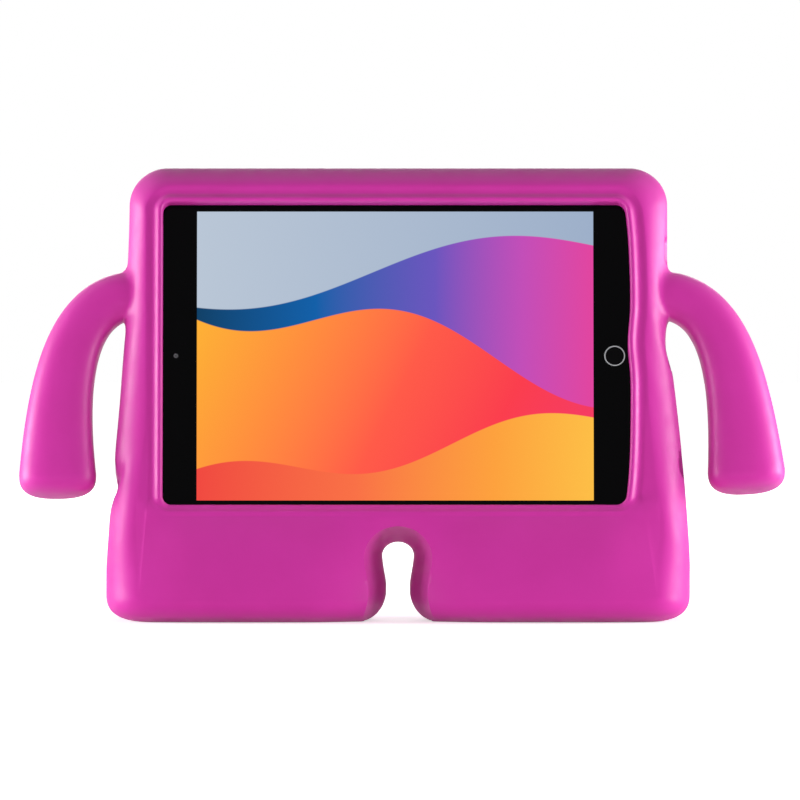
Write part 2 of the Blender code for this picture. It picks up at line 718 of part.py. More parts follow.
def build_housing(skin):
    """Aluminium tray with curved back edges and its cut-outs."""
    rim = GLASS_SINK + RIM_SETBACK
    inner = TABLET_WALL
    rings = [
        plate_ring(inner + 2.2, CAVITY_BACK),
        plate_ring(inner + 0.6, CAVITY_BACK - 0.9),
        plate_ring(inner, CAVITY_BACK - 2.2),
        plate_ring(inner, rim),
        plate_ring(0.0, rim),
    ]
    for angle in (0, 30, 60, 90):
        a = math.radians(angle)
        shrink = TABLET_BACK_ROUND * (1.0 - math.cos(a))
        rings.append(plate_ring(shrink, TABLET_BACK - TABLET_BACK_ROUND * (1.0 - math.sin(a))))
    item = loft("tablet_housing", rings, skin)
    u, v = rear_camera_spot()
    hole = REAR_CAMERA_RADIUS + FIT
    cut(item, loft("tool", disc_rings(u, v, ((hole, CAVITY_BACK - 4.0), (hole, TABLET_BACK + 2.0))), None))
    edge = TABLET_LENGTH / 2
    reach = (-edge - 1.0, -edge + 3.0)
    rings = slot_tool((power_height(), KEY_AT), POWER_KEY_LENGTH + 2 * FIT, KEY_WIDTH + 2 * FIT, True, reach)
    cut(item, loft("tool", rings, None))
    for spot in volume_spots():
        reach = (upper_edge() - 3.0, upper_edge() + 1.0)
        rings = slot_tool((spot, KEY_AT), VOLUME_KEY_LENGTH + 2 * FIT, KEY_WIDTH + 2 * FIT, False, reach)
        cut(item, loft("tool", rings, None))
    reach = (edge - 3.0, edge + 1.0)
    middle = (TABLET_MIDDLE, port_at())
    rings = slot_tool(middle, PORT_LENGTH - 2 * PORT_WALL, PORT_HEIGHT - 2 * PORT_WALL, True, reach)
    cut(item, loft("tool", rings, None))
    jack = TABLET_MIDDLE - TABLET_WIDTH / 2 + SOCKET_INSET
    steps = ((SOCKET_BORE, -edge - 1.0), (SOCKET_BORE, -edge + 3.0))
    cut(item, loft("tool", rod_rings(jack, KEY_AT, steps, 20), None))
    data = bmesh.new()
    for way in (-1, 1):
        for i in range(SOUND_HOLES):
            at = TABLET_MIDDLE + way * SPEAKER_OFFSET + (i - (SOUND_HOLES - 1) / 2) * SOUND_HOLE_PITCH
            steps = ((SOUND_HOLE_RADIUS, edge - 3.0), (SOUND_HOLE_RADIUS, edge + 1.0))
            low, high = rod_rings(at, KEY_AT, steps, 8)
            low = [data.verts.new(point) for point in low]
            high = [data.verts.new(point) for point in high]
            for k in range(8):
                data.faces.new((low[k], low[(k + 1) % 8], high[(k + 1) % 8], high[k]))
            data.faces.new(low)
            data.faces.new(list(reversed(high)))
    cut(item, new_object("tool", data, None, False))
    return item


def port_at():
    """Depth of the charge port's middle."""
    button_back = GLASS_SINK + HOME_SET_BACK + HOME_BUTTON_DEPTH
    board_back = button_back + BUTTON_TRAVEL + FIT + SENSOR_BOARD_THICKNESS
    return board_back + FIT + PORT_HEIGHT / 2


def build_glass(skin):
    """Cover glass with the hole for the home button."""
    shrink = TABLET_WALL + FIT
    rings = [plate_ring(shrink, GLASS_SINK), plate_ring(shrink, GLASS_SINK + GLASS_THICKNESS)]
    item = loft("front_glass", rings, skin, False)
    hole = HOME_RING_RADIUS + FIT
    steps = ((hole, GLASS_SINK - 1.0), (hole, GLASS_SINK + 3.0))
    cut(item, loft("tool", disc_rings(HOME_AT, TABLET_MIDDLE, steps, 48), None))
    return item


def build_home(ring_skin, button_skin, board_skin):
    """Ring, button and the small board under it."""
    u = HOME_AT
    v = TABLET_MIDDLE
    outer = HOME_RING_RADIUS
    inner = outer - HOME_RING_WIDTH
    back = GLASS_SINK + HOME_RING_DEPTH
    steps = ((outer, GLASS_SINK), (outer, back), (inner, back), (inner, GLASS_SINK))
    tube("home_ring", disc_rings(u, v, steps, 48), ring_skin)
    radius = inner - FIT
    front = GLASS_SINK + HOME_SET_BACK
    steps = ((radius, front), (radius, front + HOME_BUTTON_DEPTH))
    loft("home_button", disc_rings(u, v, steps, 40), button_skin, False)
    board = front + HOME_BUTTON_DEPTH + BUTTON_TRAVEL + FIT
    size = (SENSOR_BOARD_SIZE, SENSOR_BOARD_SIZE, SENSOR_BOARD_THICKNESS)
    slab("home_sensor_board", u, v, board, size, board_skin)


def build_cameras(ring_skin, lens_skin, module_skin):
    """Front camera, and the rear camera's ring, lens and module."""
    size = (FRONT_CAMERA_SIZE, FRONT_CAMERA_SIZE, FRONT_CAMERA_DEPTH)
    slab("front_camera", -FRONT_CAMERA_AT, TABLET_MIDDLE, CAVITY_FRONT + FIT, size, module_skin)
    u, v = rear_camera_spot()
    outer = REAR_CAMERA_RADIUS
    inner = outer - REAR_RING_WIDTH
    front = TABLET_BACK - REAR_LENS_DEPTH
    steps = ((outer, front), (outer, TABLET_BACK), (inner, TABLET_BACK), (inner, front))
    tube("rear_camera_ring", disc_rings(u, v, steps), ring_skin)
    radius = inner - FIT
    steps = ((radius, front), (radius, TABLET_BACK - 0.2))
    loft("rear_camera_lens", disc_rings(u, v, steps), lens_skin, False)
    at = front - FIT - REAR_MODULE_DEPTH
    slab("rear_camera_module", u, v, at, (8.0, 8.0, REAR_MODULE_DEPTH), module_skin)


def build_inside(cell_skin, board_skin, metal_skin, black_skin):
    """Display, cells, logic board, speakers, port and headphone socket."""
    size = (DISPLAY_LENGTH, DISPLAY_WIDTH, DISPLAY_THICKNESS)
    slab("display_panel", 0.0, TABLET_MIDDLE, CAVITY_FRONT + FIT, size, metal_skin, 2.0)
    size = (BATTERY_LENGTH, TABLET_WIDTH - 2 * BATTERY_EDGE_MARGIN, BATTERY_THICKNESS)
    for name, u in (
        ("battery_left", BATTERY_START + BATTERY_LENGTH / 2),
        ("battery_right", BATTERY_END - BATTERY_LENGTH / 2),
    ):
        slab(name, u, TABLET_MIDDLE, SHELF_AT, size, cell_skin, 3.0)
    size = (BOARD_LENGTH, TABLET_WIDTH - 2 * BOARD_EDGE_MARGIN, BOARD_THICKNESS)
    slab("logic_board", BOARD_AT, TABLET_MIDDLE, SHELF_AT, size, board_skin)
    size = (SPEAKER_WIDTH, SPEAKER_LENGTH, SPEAKER_THICKNESS)
    u = TABLET_LENGTH / 2 - TABLET_WALL - SPEAKER_SETBACK - SPEAKER_WIDTH / 2
    for name, way in (("speaker_upper", 1), ("speaker_lower", -1)):
        slab(name, u, TABLET_MIDDLE + way * SPEAKER_OFFSET, SHELF_AT, size, black_skin, 2.0)
    build_port(metal_skin)
    build_socket(black_skin)


def build_port(skin):
    """Charge port: a flattened metal cup, open to the outside."""
    edge = TABLET_LENGTH / 2 - TABLET_WALL - FIT - PORT_SETBACK
    middle = (TABLET_MIDDLE, port_at())
    rings = []
    wall = PORT_WALL
    for shrink, at in ((0.0, edge - PORT_DEPTH), (0.0, edge), (wall, edge), (wall, edge - PORT_DEPTH + 1.0)):
        rings += slot_tool(middle, PORT_LENGTH - 2 * shrink, PORT_HEIGHT - 2 * shrink, True, (at,))
    loft("charge_port", rings, skin, False)


def build_socket(skin):
    """Headphone socket: a round cup, open to the outside."""
    edge = -(TABLET_LENGTH / 2 - TABLET_WALL - FIT - SOCKET_SETBACK)
    jack = TABLET_MIDDLE - TABLET_WIDTH / 2 + SOCKET_INSET
    back = edge + SOCKET_DEPTH
    steps = ((SOCKET_RADIUS, back), (SOCKET_RADIUS, edge), (SOCKET_BORE, edge), (SOCKET_BORE, back - 1.0))
    loft("headphone_socket", rod_rings(jack, KEY_AT, steps, 20), skin)


def centre_everything():
    """Move the whole object so that the middle of its underside is the origin, and set piece origins."""
    items = [item for item in bpy.data.objects if item.type == "MESH"]
    points = [point.co for item in items for point in item.data.vertices]
    low = Vector((min(p.x for p in points), min(p.y for p in points), min(p.z for p in points)))
    high = Vector((max(p.x for p in points), max(p.y for p in points), max(p.z for p in points)))
    shift = Vector((-(low.x + high.x) / 2, -(low.y + high.y) / 2, -low.z))
    for item in items:
        item.data.transform(Matrix.Translation(shift))
    return shift


def set_origin(name, spot):
    """Put a piece's origin on its joint axis without moving its surface."""
    item = bpy.data.objects[name]
    item.data.transform(Matrix.Translation(-spot))
    item.location = spot


def main():
    """Build every piece and set the origins."""
    clear_scene()
    foam = material("eva_foam", (0.72, 0.05, 0.40), 0.0, 0.5)
    alloy = material("anodised_aluminium", (0.32, 0.33, 0.35), 1.0, 0.4)
    glass = material("black_bordered_glass", (0.01, 0.01, 0.012), 0.0, 0.08)
    panel = material("display_module", (0.05, 0.05, 0.06), 0.0, 0.3)
    steel = material("polished_ring_metal", (0.6, 0.6, 0.62), 1.0, 0.2)
    black = material("black_plastic", (0.02, 0.02, 0.02), 0.0, 0.45)
    board = material("green_circuit_board", (0.02, 0.12, 0.05), 0.0, 0.5)
    cell = material("battery_pouch", (0.35, 0.35, 0.36), 0.6, 0.5)
    lens = material("lens_glass", (0.01, 0.012, 0.03), 0.0, 0.05)
    build_case(foam)
    build_housing(alloy)
    build_glass(glass)
    build_home(steel, black, board)
    build_cameras(steel, lens, black)
    build_inside(cell, board, panel, black)
    key_shape("power_button", power_height(), POWER_KEY_LENGTH, "left", alloy)
    first, second = volume_spots()
    key_shape("volume_up_button", first, VOLUME_KEY_LENGTH, "top", alloy)
    key_shape("volume_down_button", second, VOLUME_KEY_LENGTH, "top", alloy)
    shift = centre_everything()
    set_origin("home_button", lean_back(HOME_AT, TABLET_MIDDLE, GLASS_SINK + HOME_SET_BACK) + shift)
    set_origin("power_button", lean_back(-TABLET_LENGTH / 2, power_height(), KEY_AT) + shift)
    set_origin("volume_up_button", lean_back(first, upper_edge(), KEY_AT) + shift)
    set_origin("volume_down_button", lean_back(second, upper_edge(), KEY_AT) + shift)


main()
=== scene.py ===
"""Dresses the kids tablet case: a moulded foam case with arms and legs, holding a tablet.

The foam body is modelled again here, finer than the CAD solid and to its overall sizes. The tablet's
CAD pieces stay and get their finishes. All sizes are millimetres until leaned() turns them into the
frame's metres.
"""

import logging
import math
from dataclasses import dataclass
from enum import Enum
from typing import Sequence

import bmesh
import bpy
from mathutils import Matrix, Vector


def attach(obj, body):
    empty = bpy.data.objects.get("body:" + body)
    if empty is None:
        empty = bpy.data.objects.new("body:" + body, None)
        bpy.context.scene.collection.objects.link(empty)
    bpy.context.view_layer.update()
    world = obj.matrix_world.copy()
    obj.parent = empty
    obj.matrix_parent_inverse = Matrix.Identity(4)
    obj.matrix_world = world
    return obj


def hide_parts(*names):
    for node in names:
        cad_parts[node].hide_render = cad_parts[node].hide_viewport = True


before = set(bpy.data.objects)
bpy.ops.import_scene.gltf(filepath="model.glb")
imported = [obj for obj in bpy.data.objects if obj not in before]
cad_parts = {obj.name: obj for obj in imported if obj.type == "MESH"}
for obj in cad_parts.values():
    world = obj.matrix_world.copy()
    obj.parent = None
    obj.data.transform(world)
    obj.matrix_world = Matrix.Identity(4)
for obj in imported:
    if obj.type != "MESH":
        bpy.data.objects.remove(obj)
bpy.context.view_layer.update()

LOG = logging.getLogger("tablet_case")
MM = 0.001
PER_METRE = 1000.0

Point = tuple[float, float]
Spot = tuple[float, float, float]
Hump = tuple[float, float, float]
Outline = list[Point]
Nodes = bpy.types.ShaderNodeTree
Socket = bpy.types.NodeSocket


class Side(Enum):
    """Which arm is meant, as the sign of its distance from the middle."""

    LEFT = -1
    RIGHT = 1


class Light(Enum):
    """What a lamp is for."""

    KEY = "key"
    FILL = "fill"
    BACK = "back"


def smooth(t: float) -> float:
    """Ease a number between 0 and 1 with flat ends.

    Args:
        t: any number; it is held between 0 and 1.

    Returns:
        The eased number.
    """
    t = min(max(t, 0.0), 1.0)
    return t * t * (3.0 - 2.0 * t)


def hump(at: float, height: float, middle: float, width: float) -> float:
    """Give the height of a soft hump at a place, from its full height, middle and width."""
    return height * math.exp(-(((at - middle) / width) ** 2))


def between(start: Outline, end: Outline, t: float) -> Outline:
    """Draw the outline that lies a share t of the way from one outline to another."""
    return [(p[0] + (q[0] - p[0]) * t, p[1] + (q[1] - p[1]) * t) for p, q in zip(start, end)]


def linear(code: str) -> tuple[float, float, float, float]:
    """Turn an sRGB hex colour into the linear values that a shader takes.

    Args:
        code: six hex digits after a leading mark.

    Returns:
        Linear red, green, blue and a full alpha.
    """
    parts = [int(code[i:i + 2], 16) / 255.0 for i in (1, 3, 5)]
    parts = [c / 12.92 if c <= 0.04045 else ((c + 0.055) / 1.055) ** 2.4 for c in parts]
    return (parts[0], parts[1], parts[2], 1.0)


def fill(tree: Nodes, node: bpy.types.ShaderNode, inputs: dict) -> None:
    """Give inputs of a node their values or their links.

    Args:
        tree: the node tree of a material or the world.
        node: the node.
        inputs: what each input gets, as a value or as an output socket of another node.
    """
    for name, value in inputs.items():
        if isinstance(value, Socket):
            tree.links.new(value, node.inputs[name])
        else:
            node.inputs[name].default_value = value


def add_node(tree: Nodes, kind: str, inputs: dict | None = None, **settings) -> bpy.types.ShaderNode:
    """Add one shader node with its settings, values and links.

    Args:
        tree: the node tree of a material or the world.
        kind: the node's type name without its ShaderNode prefix.
        inputs: what each input gets, as a value or as an output socket of another node.
        settings: properties of the node; stops are the places and hex colours of a colour ramp.

    Returns:
        The new node.
    """
    node = tree.nodes.new("ShaderNode" + kind)
    stops = settings.pop("stops", ())
    for name, value in settings.items():
        setattr(node, name, value)
    if stops:
        marks = node.color_ramp.elements
        while len(marks) < len(stops):
            marks.new(0.5)
        for mark, (place, code) in zip(marks, stops):
            mark.position = place
            mark.color = linear(code)
    fill(tree, node, inputs or {})
    return node


def blank(name: str) -> tuple[bpy.types.Material, Nodes, bpy.types.ShaderNode, Socket]:
    """Start a material with one Principled shader.

    Args:
        name: the material's name.

    Returns:
        The material, its tree, the shader and the Object coordinates.
    """
    skin = bpy.data.materials.new(name)
    skin.use_nodes = True
    tree = skin.node_tree
    tree.nodes.clear()
    shader = add_node(tree, "BsdfPrincipled")
    add_node(tree, "OutputMaterial", {"Surface": shader.outputs["BSDF"]})
    spots = add_node(tree, "TexCoord")
    return skin, tree, shader, spots.outputs["Object"]


def seen_rays(tree: Nodes) -> Socket:
    """Tell the rays that see the white backdrop from the others.

    Args:
        tree: the node tree of a material or the world.

    Returns:
        1 for camera, glossy and transmission rays, and 0 for others.
    """
    rays = add_node(tree, "LightPath").outputs
    seen = rays["Is Camera Ray"]
    for name in ("Is Glossy Ray", "Is Transmission Ray"):
        seen = add_node(tree, "Math", {0: seen, 1: rays[name]}, operation="MAXIMUM").outputs[0]
    return seen


@dataclass(frozen=True)
class MouldedFoam:
    """Closed-cell EVA foam, injection foamed in a polished mould: a satin skin, evenly dyed, with
    fine pores and a very slight unevenness where the skin has shrunk on to the cells."""

    base: str = "#D33BA8"
    deep: str = "#C9369C"
    roughness: float = 0.42
    cloud_mm: float = 34.0
    gloss_mm: float = 6.0
    pore_mm: float = 0.9
    dimple_mm: float = 9.0

    def build(self) -> bpy.types.Material:
        """Make the material.

        Returns:
            The finished material.
        """
        skin, tree, shader, spots = blank("moulded_eva_foam")
        cloud, gloss, pores, dimples = (
            add_node(tree, "TexNoise", {"Vector": spots, "Scale": PER_METRE / size, "Detail": detail})
            for size, detail in (
                (self.cloud_mm, 3.0), (self.gloss_mm, 4.0), (self.pore_mm, 2.0), (self.dimple_mm, 1.0),
            )
        )
        tone = add_node(
            tree, "Mix",
            {"Factor": cloud.outputs["Fac"], "A": linear(self.deep), "B": linear(self.base)},
            data_type="RGBA",
        )
        rough = add_node(
            tree, "MapRange",
            {"Value": gloss.outputs["Fac"], "From Min": 0.3, "From Max": 0.7,
             "To Min": self.roughness - 0.05, "To Max": self.roughness + 0.07},
        )
        fine = add_node(tree, "Bump", {"Height": pores.outputs["Fac"], "Strength": 0.10, "Distance": 0.0002})
        coarse = add_node(
            tree, "Bump",
            {"Height": dimples.outputs["Fac"], "Strength": 0.10, "Distance": 0.001,
             "Normal": fine.outputs["Normal"]},
        )
        # The skin shows its sheen at a slant: little straight on, most on the rolls, hardly any at the rim.
        # The feet have less of it, because they stand and rub on tables.
        slant = add_node(tree, "LayerWeight", {"Blend": 0.5}).outputs["Facing"]
        height = add_node(tree, "SeparateXYZ", {"Vector": spots}).outputs["Z"]
        rim, front, feet = (
            add_node(
                tree, "MapRange",
                {"Value": value, "From Min": low, "From Max": high, "To Min": first, "To Max": last},
            ).outputs["Result"]
            for value, low, high, first, last in (
                (slant, 0.55, 0.9, 0.6, 0.05),
                (slant, 0.02, 0.28, 0.08, 1.0),
                (height, 0.03, 0.095, 0.35, 1.0),
            )
        )
        sheen = add_node(tree, "Math", {0: rim, 1: feet}, operation="MULTIPLY").outputs[0]
        sheen = add_node(tree, "Math", {0: sheen, 1: front}, operation="MULTIPLY").outputs[0]
        fill(tree, shader, {
            "Base Color": tone.outputs[2],
            "Roughness": rough.outputs["Result"],
            "Normal": coarse.outputs["Normal"],
            "Specular IOR Level": sheen,
            "IOR": 1.49,
        })
        return skin


@dataclass(frozen=True)
class ScreenGlass:
    """Chemically hardened cover glass with a black printed border and an anti-glare coat: a deep
    black that reflects little, a lit screen under it and the front camera's dot, a grey ring round a
    darker middle whose grey is partly the lens ring and partly a painted highlight. The picture
    is a made-up one."""

    half_wide: float = 103.65
    half_high: float = 77.7
    border: str = "#030304"
    eye_ring_and_glint_tone: str = "#66696B"
    eye_at: float = -114.6
    eye_radius: float = 1.15
    pupil_radius: float = 0.45
    smear_mm: float = 60.0

    def build(self, centre: Vector, lean: float) -> bpy.types.Material:
        """Make the material.

        Args:
            centre: the middle of the screen in the frame, in metres.
            lean: how far the screen leans back, in radians.

        Returns:
            The finished material.
        """
        skin, tree, shader, spots = blank("hardened_cover_glass")
        upright = add_node(tree, "Mapping", {"Vector": spots, "Location": -centre})
        turned = add_node(
            tree, "Mapping",
            {"Vector": upright.outputs["Vector"], "Rotation": (lean, 0.0, 0.0),
             "Scale": (PER_METRE, PER_METRE, PER_METRE)},
        )
        axes = add_node(tree, "SeparateXYZ", {"Vector": turned.outputs["Vector"]})
        u, v = axes.outputs["X"], axes.outputs["Z"]

        def within(distance: Socket, limit: float, soft: float = 0.25) -> Socket:
            """Give 1 where a distance is under its limit and 0 beyond it, over a soft step."""
            step = {"Value": distance, "From Min": limit + soft, "From Max": limit - soft}
            return add_node(tree, "MapRange", step).outputs["Result"]

        def below_wave(middle: float, slope: float, swing: float, length: float, shift: float) -> Socket:
            """Tell what lies below a wavy line.

            Args:
                middle: the line's height in the middle.
                slope: how much it rises to the right.
                swing: half the height of its waves.
                length: the length of a wave.
                shift: how far the waves are moved to the left.

            Returns:
                1 below the line and 0 above it.
            """
            turn = 2.0 * math.pi / length
            line = u
            for operation, factor, more in (
                ("MULTIPLY_ADD", turn, turn * shift), ("SINE", 0.0, 0.0), ("MULTIPLY_ADD", swing, middle),
            ):
                line = add_node(tree, "Math", {0: line, 1: factor, 2: more}, operation=operation).outputs[0]
            line = add_node(tree, "Math", {0: u, 1: slope, 2: line}, operation="MULTIPLY_ADD").outputs[0]
            return within(add_node(tree, "Math", {0: v, 1: line}, operation="SUBTRACT").outputs[0], 0.0)

        slant = add_node(tree, "Math", {0: v, 1: -0.5, 2: u}, operation="MULTIPLY_ADD").outputs[0]
        across, slanted = (
            add_node(tree, "MapRange", {"Value": value, "From Min": -reach, "From Max": reach})
            for value, reach in ((u, self.half_wide), (slant, 120.0))
        )
        sky = ((0.0, "#B9C6D6"), (1.0, "#9DAFC9"))
        ridge = ((0.0, "#0A3F66"), (0.3, "#0D5FA8"), (0.6, "#6A55BE"), (0.82, "#C24DB8"), (1.0, "#E2449F"))
        swell = ((0.0, "#FDB433"), (0.28, "#FF8E3C"), (0.55, "#FF5A47"), (0.8, "#FB3C4C"), (1.0, "#F53A62"))
        shore = ((0.0, "#F0483F"), (0.4, "#F97045"), (0.75, "#FDA13C"), (1.0, "#FDBE45"))
        picture = add_node(tree, "ValToRGB", {"Fac": across.outputs["Result"]}, stops=sky).outputs["Color"]
        for place, stops, wave in (
            (across, ridge, (46.0, 0.10, 13.0, 250.0, 12.0)),
            (slanted, swell, (10.0, -0.22, 15.0, 190.0, 42.0)),
            (across, shore, (-52.0, 0.16, 9.0, 160.0, -30.0)),
        ):
            tone = add_node(tree, "ValToRGB", {"Fac": place.outputs["Result"]}, stops=stops)
            layers = {"Factor": below_wave(*wave), "A": picture, "B": tone.outputs["Color"]}
            picture = add_node(tree, "Mix", layers, data_type="RGBA").outputs[2]
        sides, ends = (
            within(add_node(tree, "Math", {0: axis}, operation="ABSOLUTE").outputs[0], half, 0.06)
            for axis, half in ((u, self.half_wide), (v, self.half_high))
        )
        inside = add_node(tree, "Math", {0: sides, 1: ends}, operation="MULTIPLY").outputs[0]
        # The front camera is drawn into the ink as a grey ring round a darker middle. The grey is partly the
        # lens ring and partly a painted highlight.
        reach = add_node(
            tree, "VectorMath", {0: turned.outputs["Vector"], 1: (self.eye_at, 0.0, 0.0)},
            operation="DISTANCE",
        ).outputs["Value"]
        pupil = within(reach, self.pupil_radius, 0.3)
        ring = add_node(tree, "Math", {0: pupil, 1: -0.6, 2: 1.0}, operation="MULTIPLY_ADD").outputs[0]
        eye = within(reach, self.eye_radius, 0.3)
        eye = add_node(tree, "Math", {0: eye, 1: ring}, operation="MULTIPLY").outputs[0]
        black = linear("#000000")
        ink, glow = (
            add_node(tree, "Mix", {"Factor": part, "A": under, "B": over}, data_type="RGBA").outputs[2]
            for part, under, over in (
                (eye, linear(self.border), linear(self.eye_ring_and_glint_tone)), (inside, black, picture),
            )
        )
        smear = add_node(
            tree, "TexNoise", {"Vector": spots, "Scale": PER_METRE / self.smear_mm, "Detail": 5.0},
        ).outputs["Fac"]
        rough = add_node(
            tree, "MapRange",
            {"Value": smear, "From Min": 0.35, "From Max": 0.7, "To Min": 0.05, "To Max": 0.12},
        )
        fill(tree, shader, {
            "Base Color": ink,
            "Emission Color": glow,
            "Emission Strength": 1.0,
            "Roughness": rough.outputs["Result"],
            "Specular IOR Level": 0.03,
            "IOR": 1.5,
        })
        return skin


@dataclass(frozen=True)
class BlastedAluminium:
    """Anodised aluminium, bead blasted: a fine even grain and a soft silver sheen."""

    tint: str = "#B9BBBE"
    pale: str = "#C8CACC"
    roughness: float = 0.36
    grain_mm: float = 0.35

    def build(self) -> bpy.types.Material:
        """Make the material.

        Returns:
            The finished material.
        """
        skin, tree, shader, spots = blank("anodised_aluminium")
        grain = add_node(
            tree, "TexNoise", {"Vector": spots, "Scale": PER_METRE / self.grain_mm, "Detail": 2.0},
        ).outputs["Fac"]
        tone = add_node(tree, "ValToRGB", {"Fac": grain}, stops=((0.3, self.tint), (0.7, self.pale)))
        rough = add_node(
            tree, "MapRange",
            {"Value": grain, "To Min": self.roughness - 0.06, "To Max": self.roughness + 0.08},
        )
        bump = add_node(tree, "Bump", {"Height": grain, "Strength": 0.15, "Distance": 0.00005})
        fill(tree, shader, {
            "Base Color": tone.outputs["Color"],
            "Roughness": rough.outputs["Result"],
            "Normal": bump.outputs["Normal"],
            "Metallic": 1.0,
        })
        return skin


@dataclass(frozen=True)
class TurnedMetal:
    """Aluminium turned on a lathe: a bright ring with fine rings of tool marks round one centre."""

    name: str
    tint: str
    centre: Spot
    lean: float
    roughness: float = 0.2
    pitch_mm: float = 0.12

    def build(self) -> bpy.types.Material:
        """Make the material.

        Returns:
            The finished material.
        """
        skin, tree, shader, spots = blank(self.name)
        moved = add_node(tree, "Mapping", {"Vector": spots, "Location": -Vector(self.centre)})
        turned = add_node(
            tree, "Mapping",
            {"Vector": moved.outputs["Vector"], "Rotation": (self.lean - math.pi / 2, 0.0, 0.0)},
        )
        # A wave texture's rings lie a twentieth of its scale apart.
        marks = add_node(
            tree, "TexWave",
            {"Vector": turned.outputs["Vector"], "Scale": PER_METRE / self.pitch_mm / 20.0,
             "Distortion": 0.6, "Detail": 2.0},
            wave_type="RINGS", rings_direction="Z",
        )
        rough = add_node(
            tree, "MapRange",
            {"Value": marks.outputs["Fac"], "To Min": self.roughness - 0.05, "To Max": self.roughness + 0.06},
        )
        fill(tree, shader, {
            "Base Color": linear(self.tint), "Roughness": rough.outputs["Result"], "Metallic": 1.0,
        })
        return skin


@dataclass(frozen=True)
class MouldedPlastic:
    """Glass-filled nylon or ABS, moulded: a faint grain that breaks up the sheen."""

    name: str
    tint: str
    second: str
    roughness: float = 0.42
    grain_mm: float = 0.5
    specular: float = 0.5

    def build(self) -> bpy.types.Material:
        """Make the material.

        Returns:
            The finished material.
        """
        skin, tree, shader, spots = blank(self.name)
        grain = add_node(
            tree, "TexNoise", {"Vector": spots, "Scale": PER_METRE / self.grain_mm, "Detail": 3.0},
        ).outputs["Fac"]
        tone = add_node(tree, "ValToRGB", {"Fac": grain}, stops=((0.35, self.tint), (0.65, self.second)))
        rough = add_node(
            tree, "MapRange",
            {"Value": grain, "To Min": self.roughness - 0.08, "To Max": self.roughness + 0.08},
        )
        bump = add_node(tree, "Bump", {"Height": grain, "Strength": 0.2, "Distance": 0.00005})
        fill(tree, shader, {
            "Base Color": tone.outputs["Color"],
            "Roughness": rough.outputs["Result"],
            "Normal": bump.outputs["Normal"],
            "Specular IOR Level": self.specular,
        })
        return skin


@dataclass(frozen=True)
class CoatedLens:
    """Polished crystal over a lens: nearly black, with the violet of its coat at a slant."""

    dust_mm: float = 2.0

    def build(self) -> bpy.types.Material:
        """Make the material.

        Returns:
            The finished material.
        """
        skin, tree, shader, spots = blank("coated_lens_glass")
        slant = add_node(tree, "LayerWeight", {"Blend": 0.35})
        tone = add_node(
            tree, "ValToRGB", {"Fac": slant.outputs["Facing"]},
            stops=((0.0, "#07080B"), (0.6, "#0B0D18"), (1.0, "#2A1E46")),
        )
        dust = add_node(tree, "TexNoise", {"Vector": spots, "Scale": PER_METRE / self.dust_mm, "Detail": 2.0})
        rough = add_node(tree, "MapRange", {"Value": dust.outputs["Fac"], "To Min": 0.03, "To Max": 0.08})
        fill(tree, shader, {
            "Base Color": tone.outputs["Color"], "Roughness": rough.outputs["Result"], "IOR": 1.76,
        })
        return skin


@dataclass(frozen=True)
class CircuitBoard:
    """Glass-epoxy board with a dark solder mask: rows of tiny parts show as pale and dark specks."""

    part_mm: float = 2.2

    def build(self) -> bpy.types.Material:
        """Make the material.

        Returns:
            The finished material.
        """
        skin, tree, shader, spots = blank("solder_masked_board")
        cells = add_node(
            tree, "TexVoronoi", {"Vector": spots, "Scale": PER_METRE / self.part_mm}, distance="CHEBYCHEV",
        )
        tone = add_node(
            tree, "ValToRGB", {"Fac": cells.outputs["Distance"]},
            stops=((0.0, "#B8BCC0"), (0.16, "#4B5058"), (0.3, "#16382E"), (1.0, "#123026")),
        )
        fill(tree, shader, {"Base Color": tone.outputs["Color"], "Roughness": 0.4})
        return skin


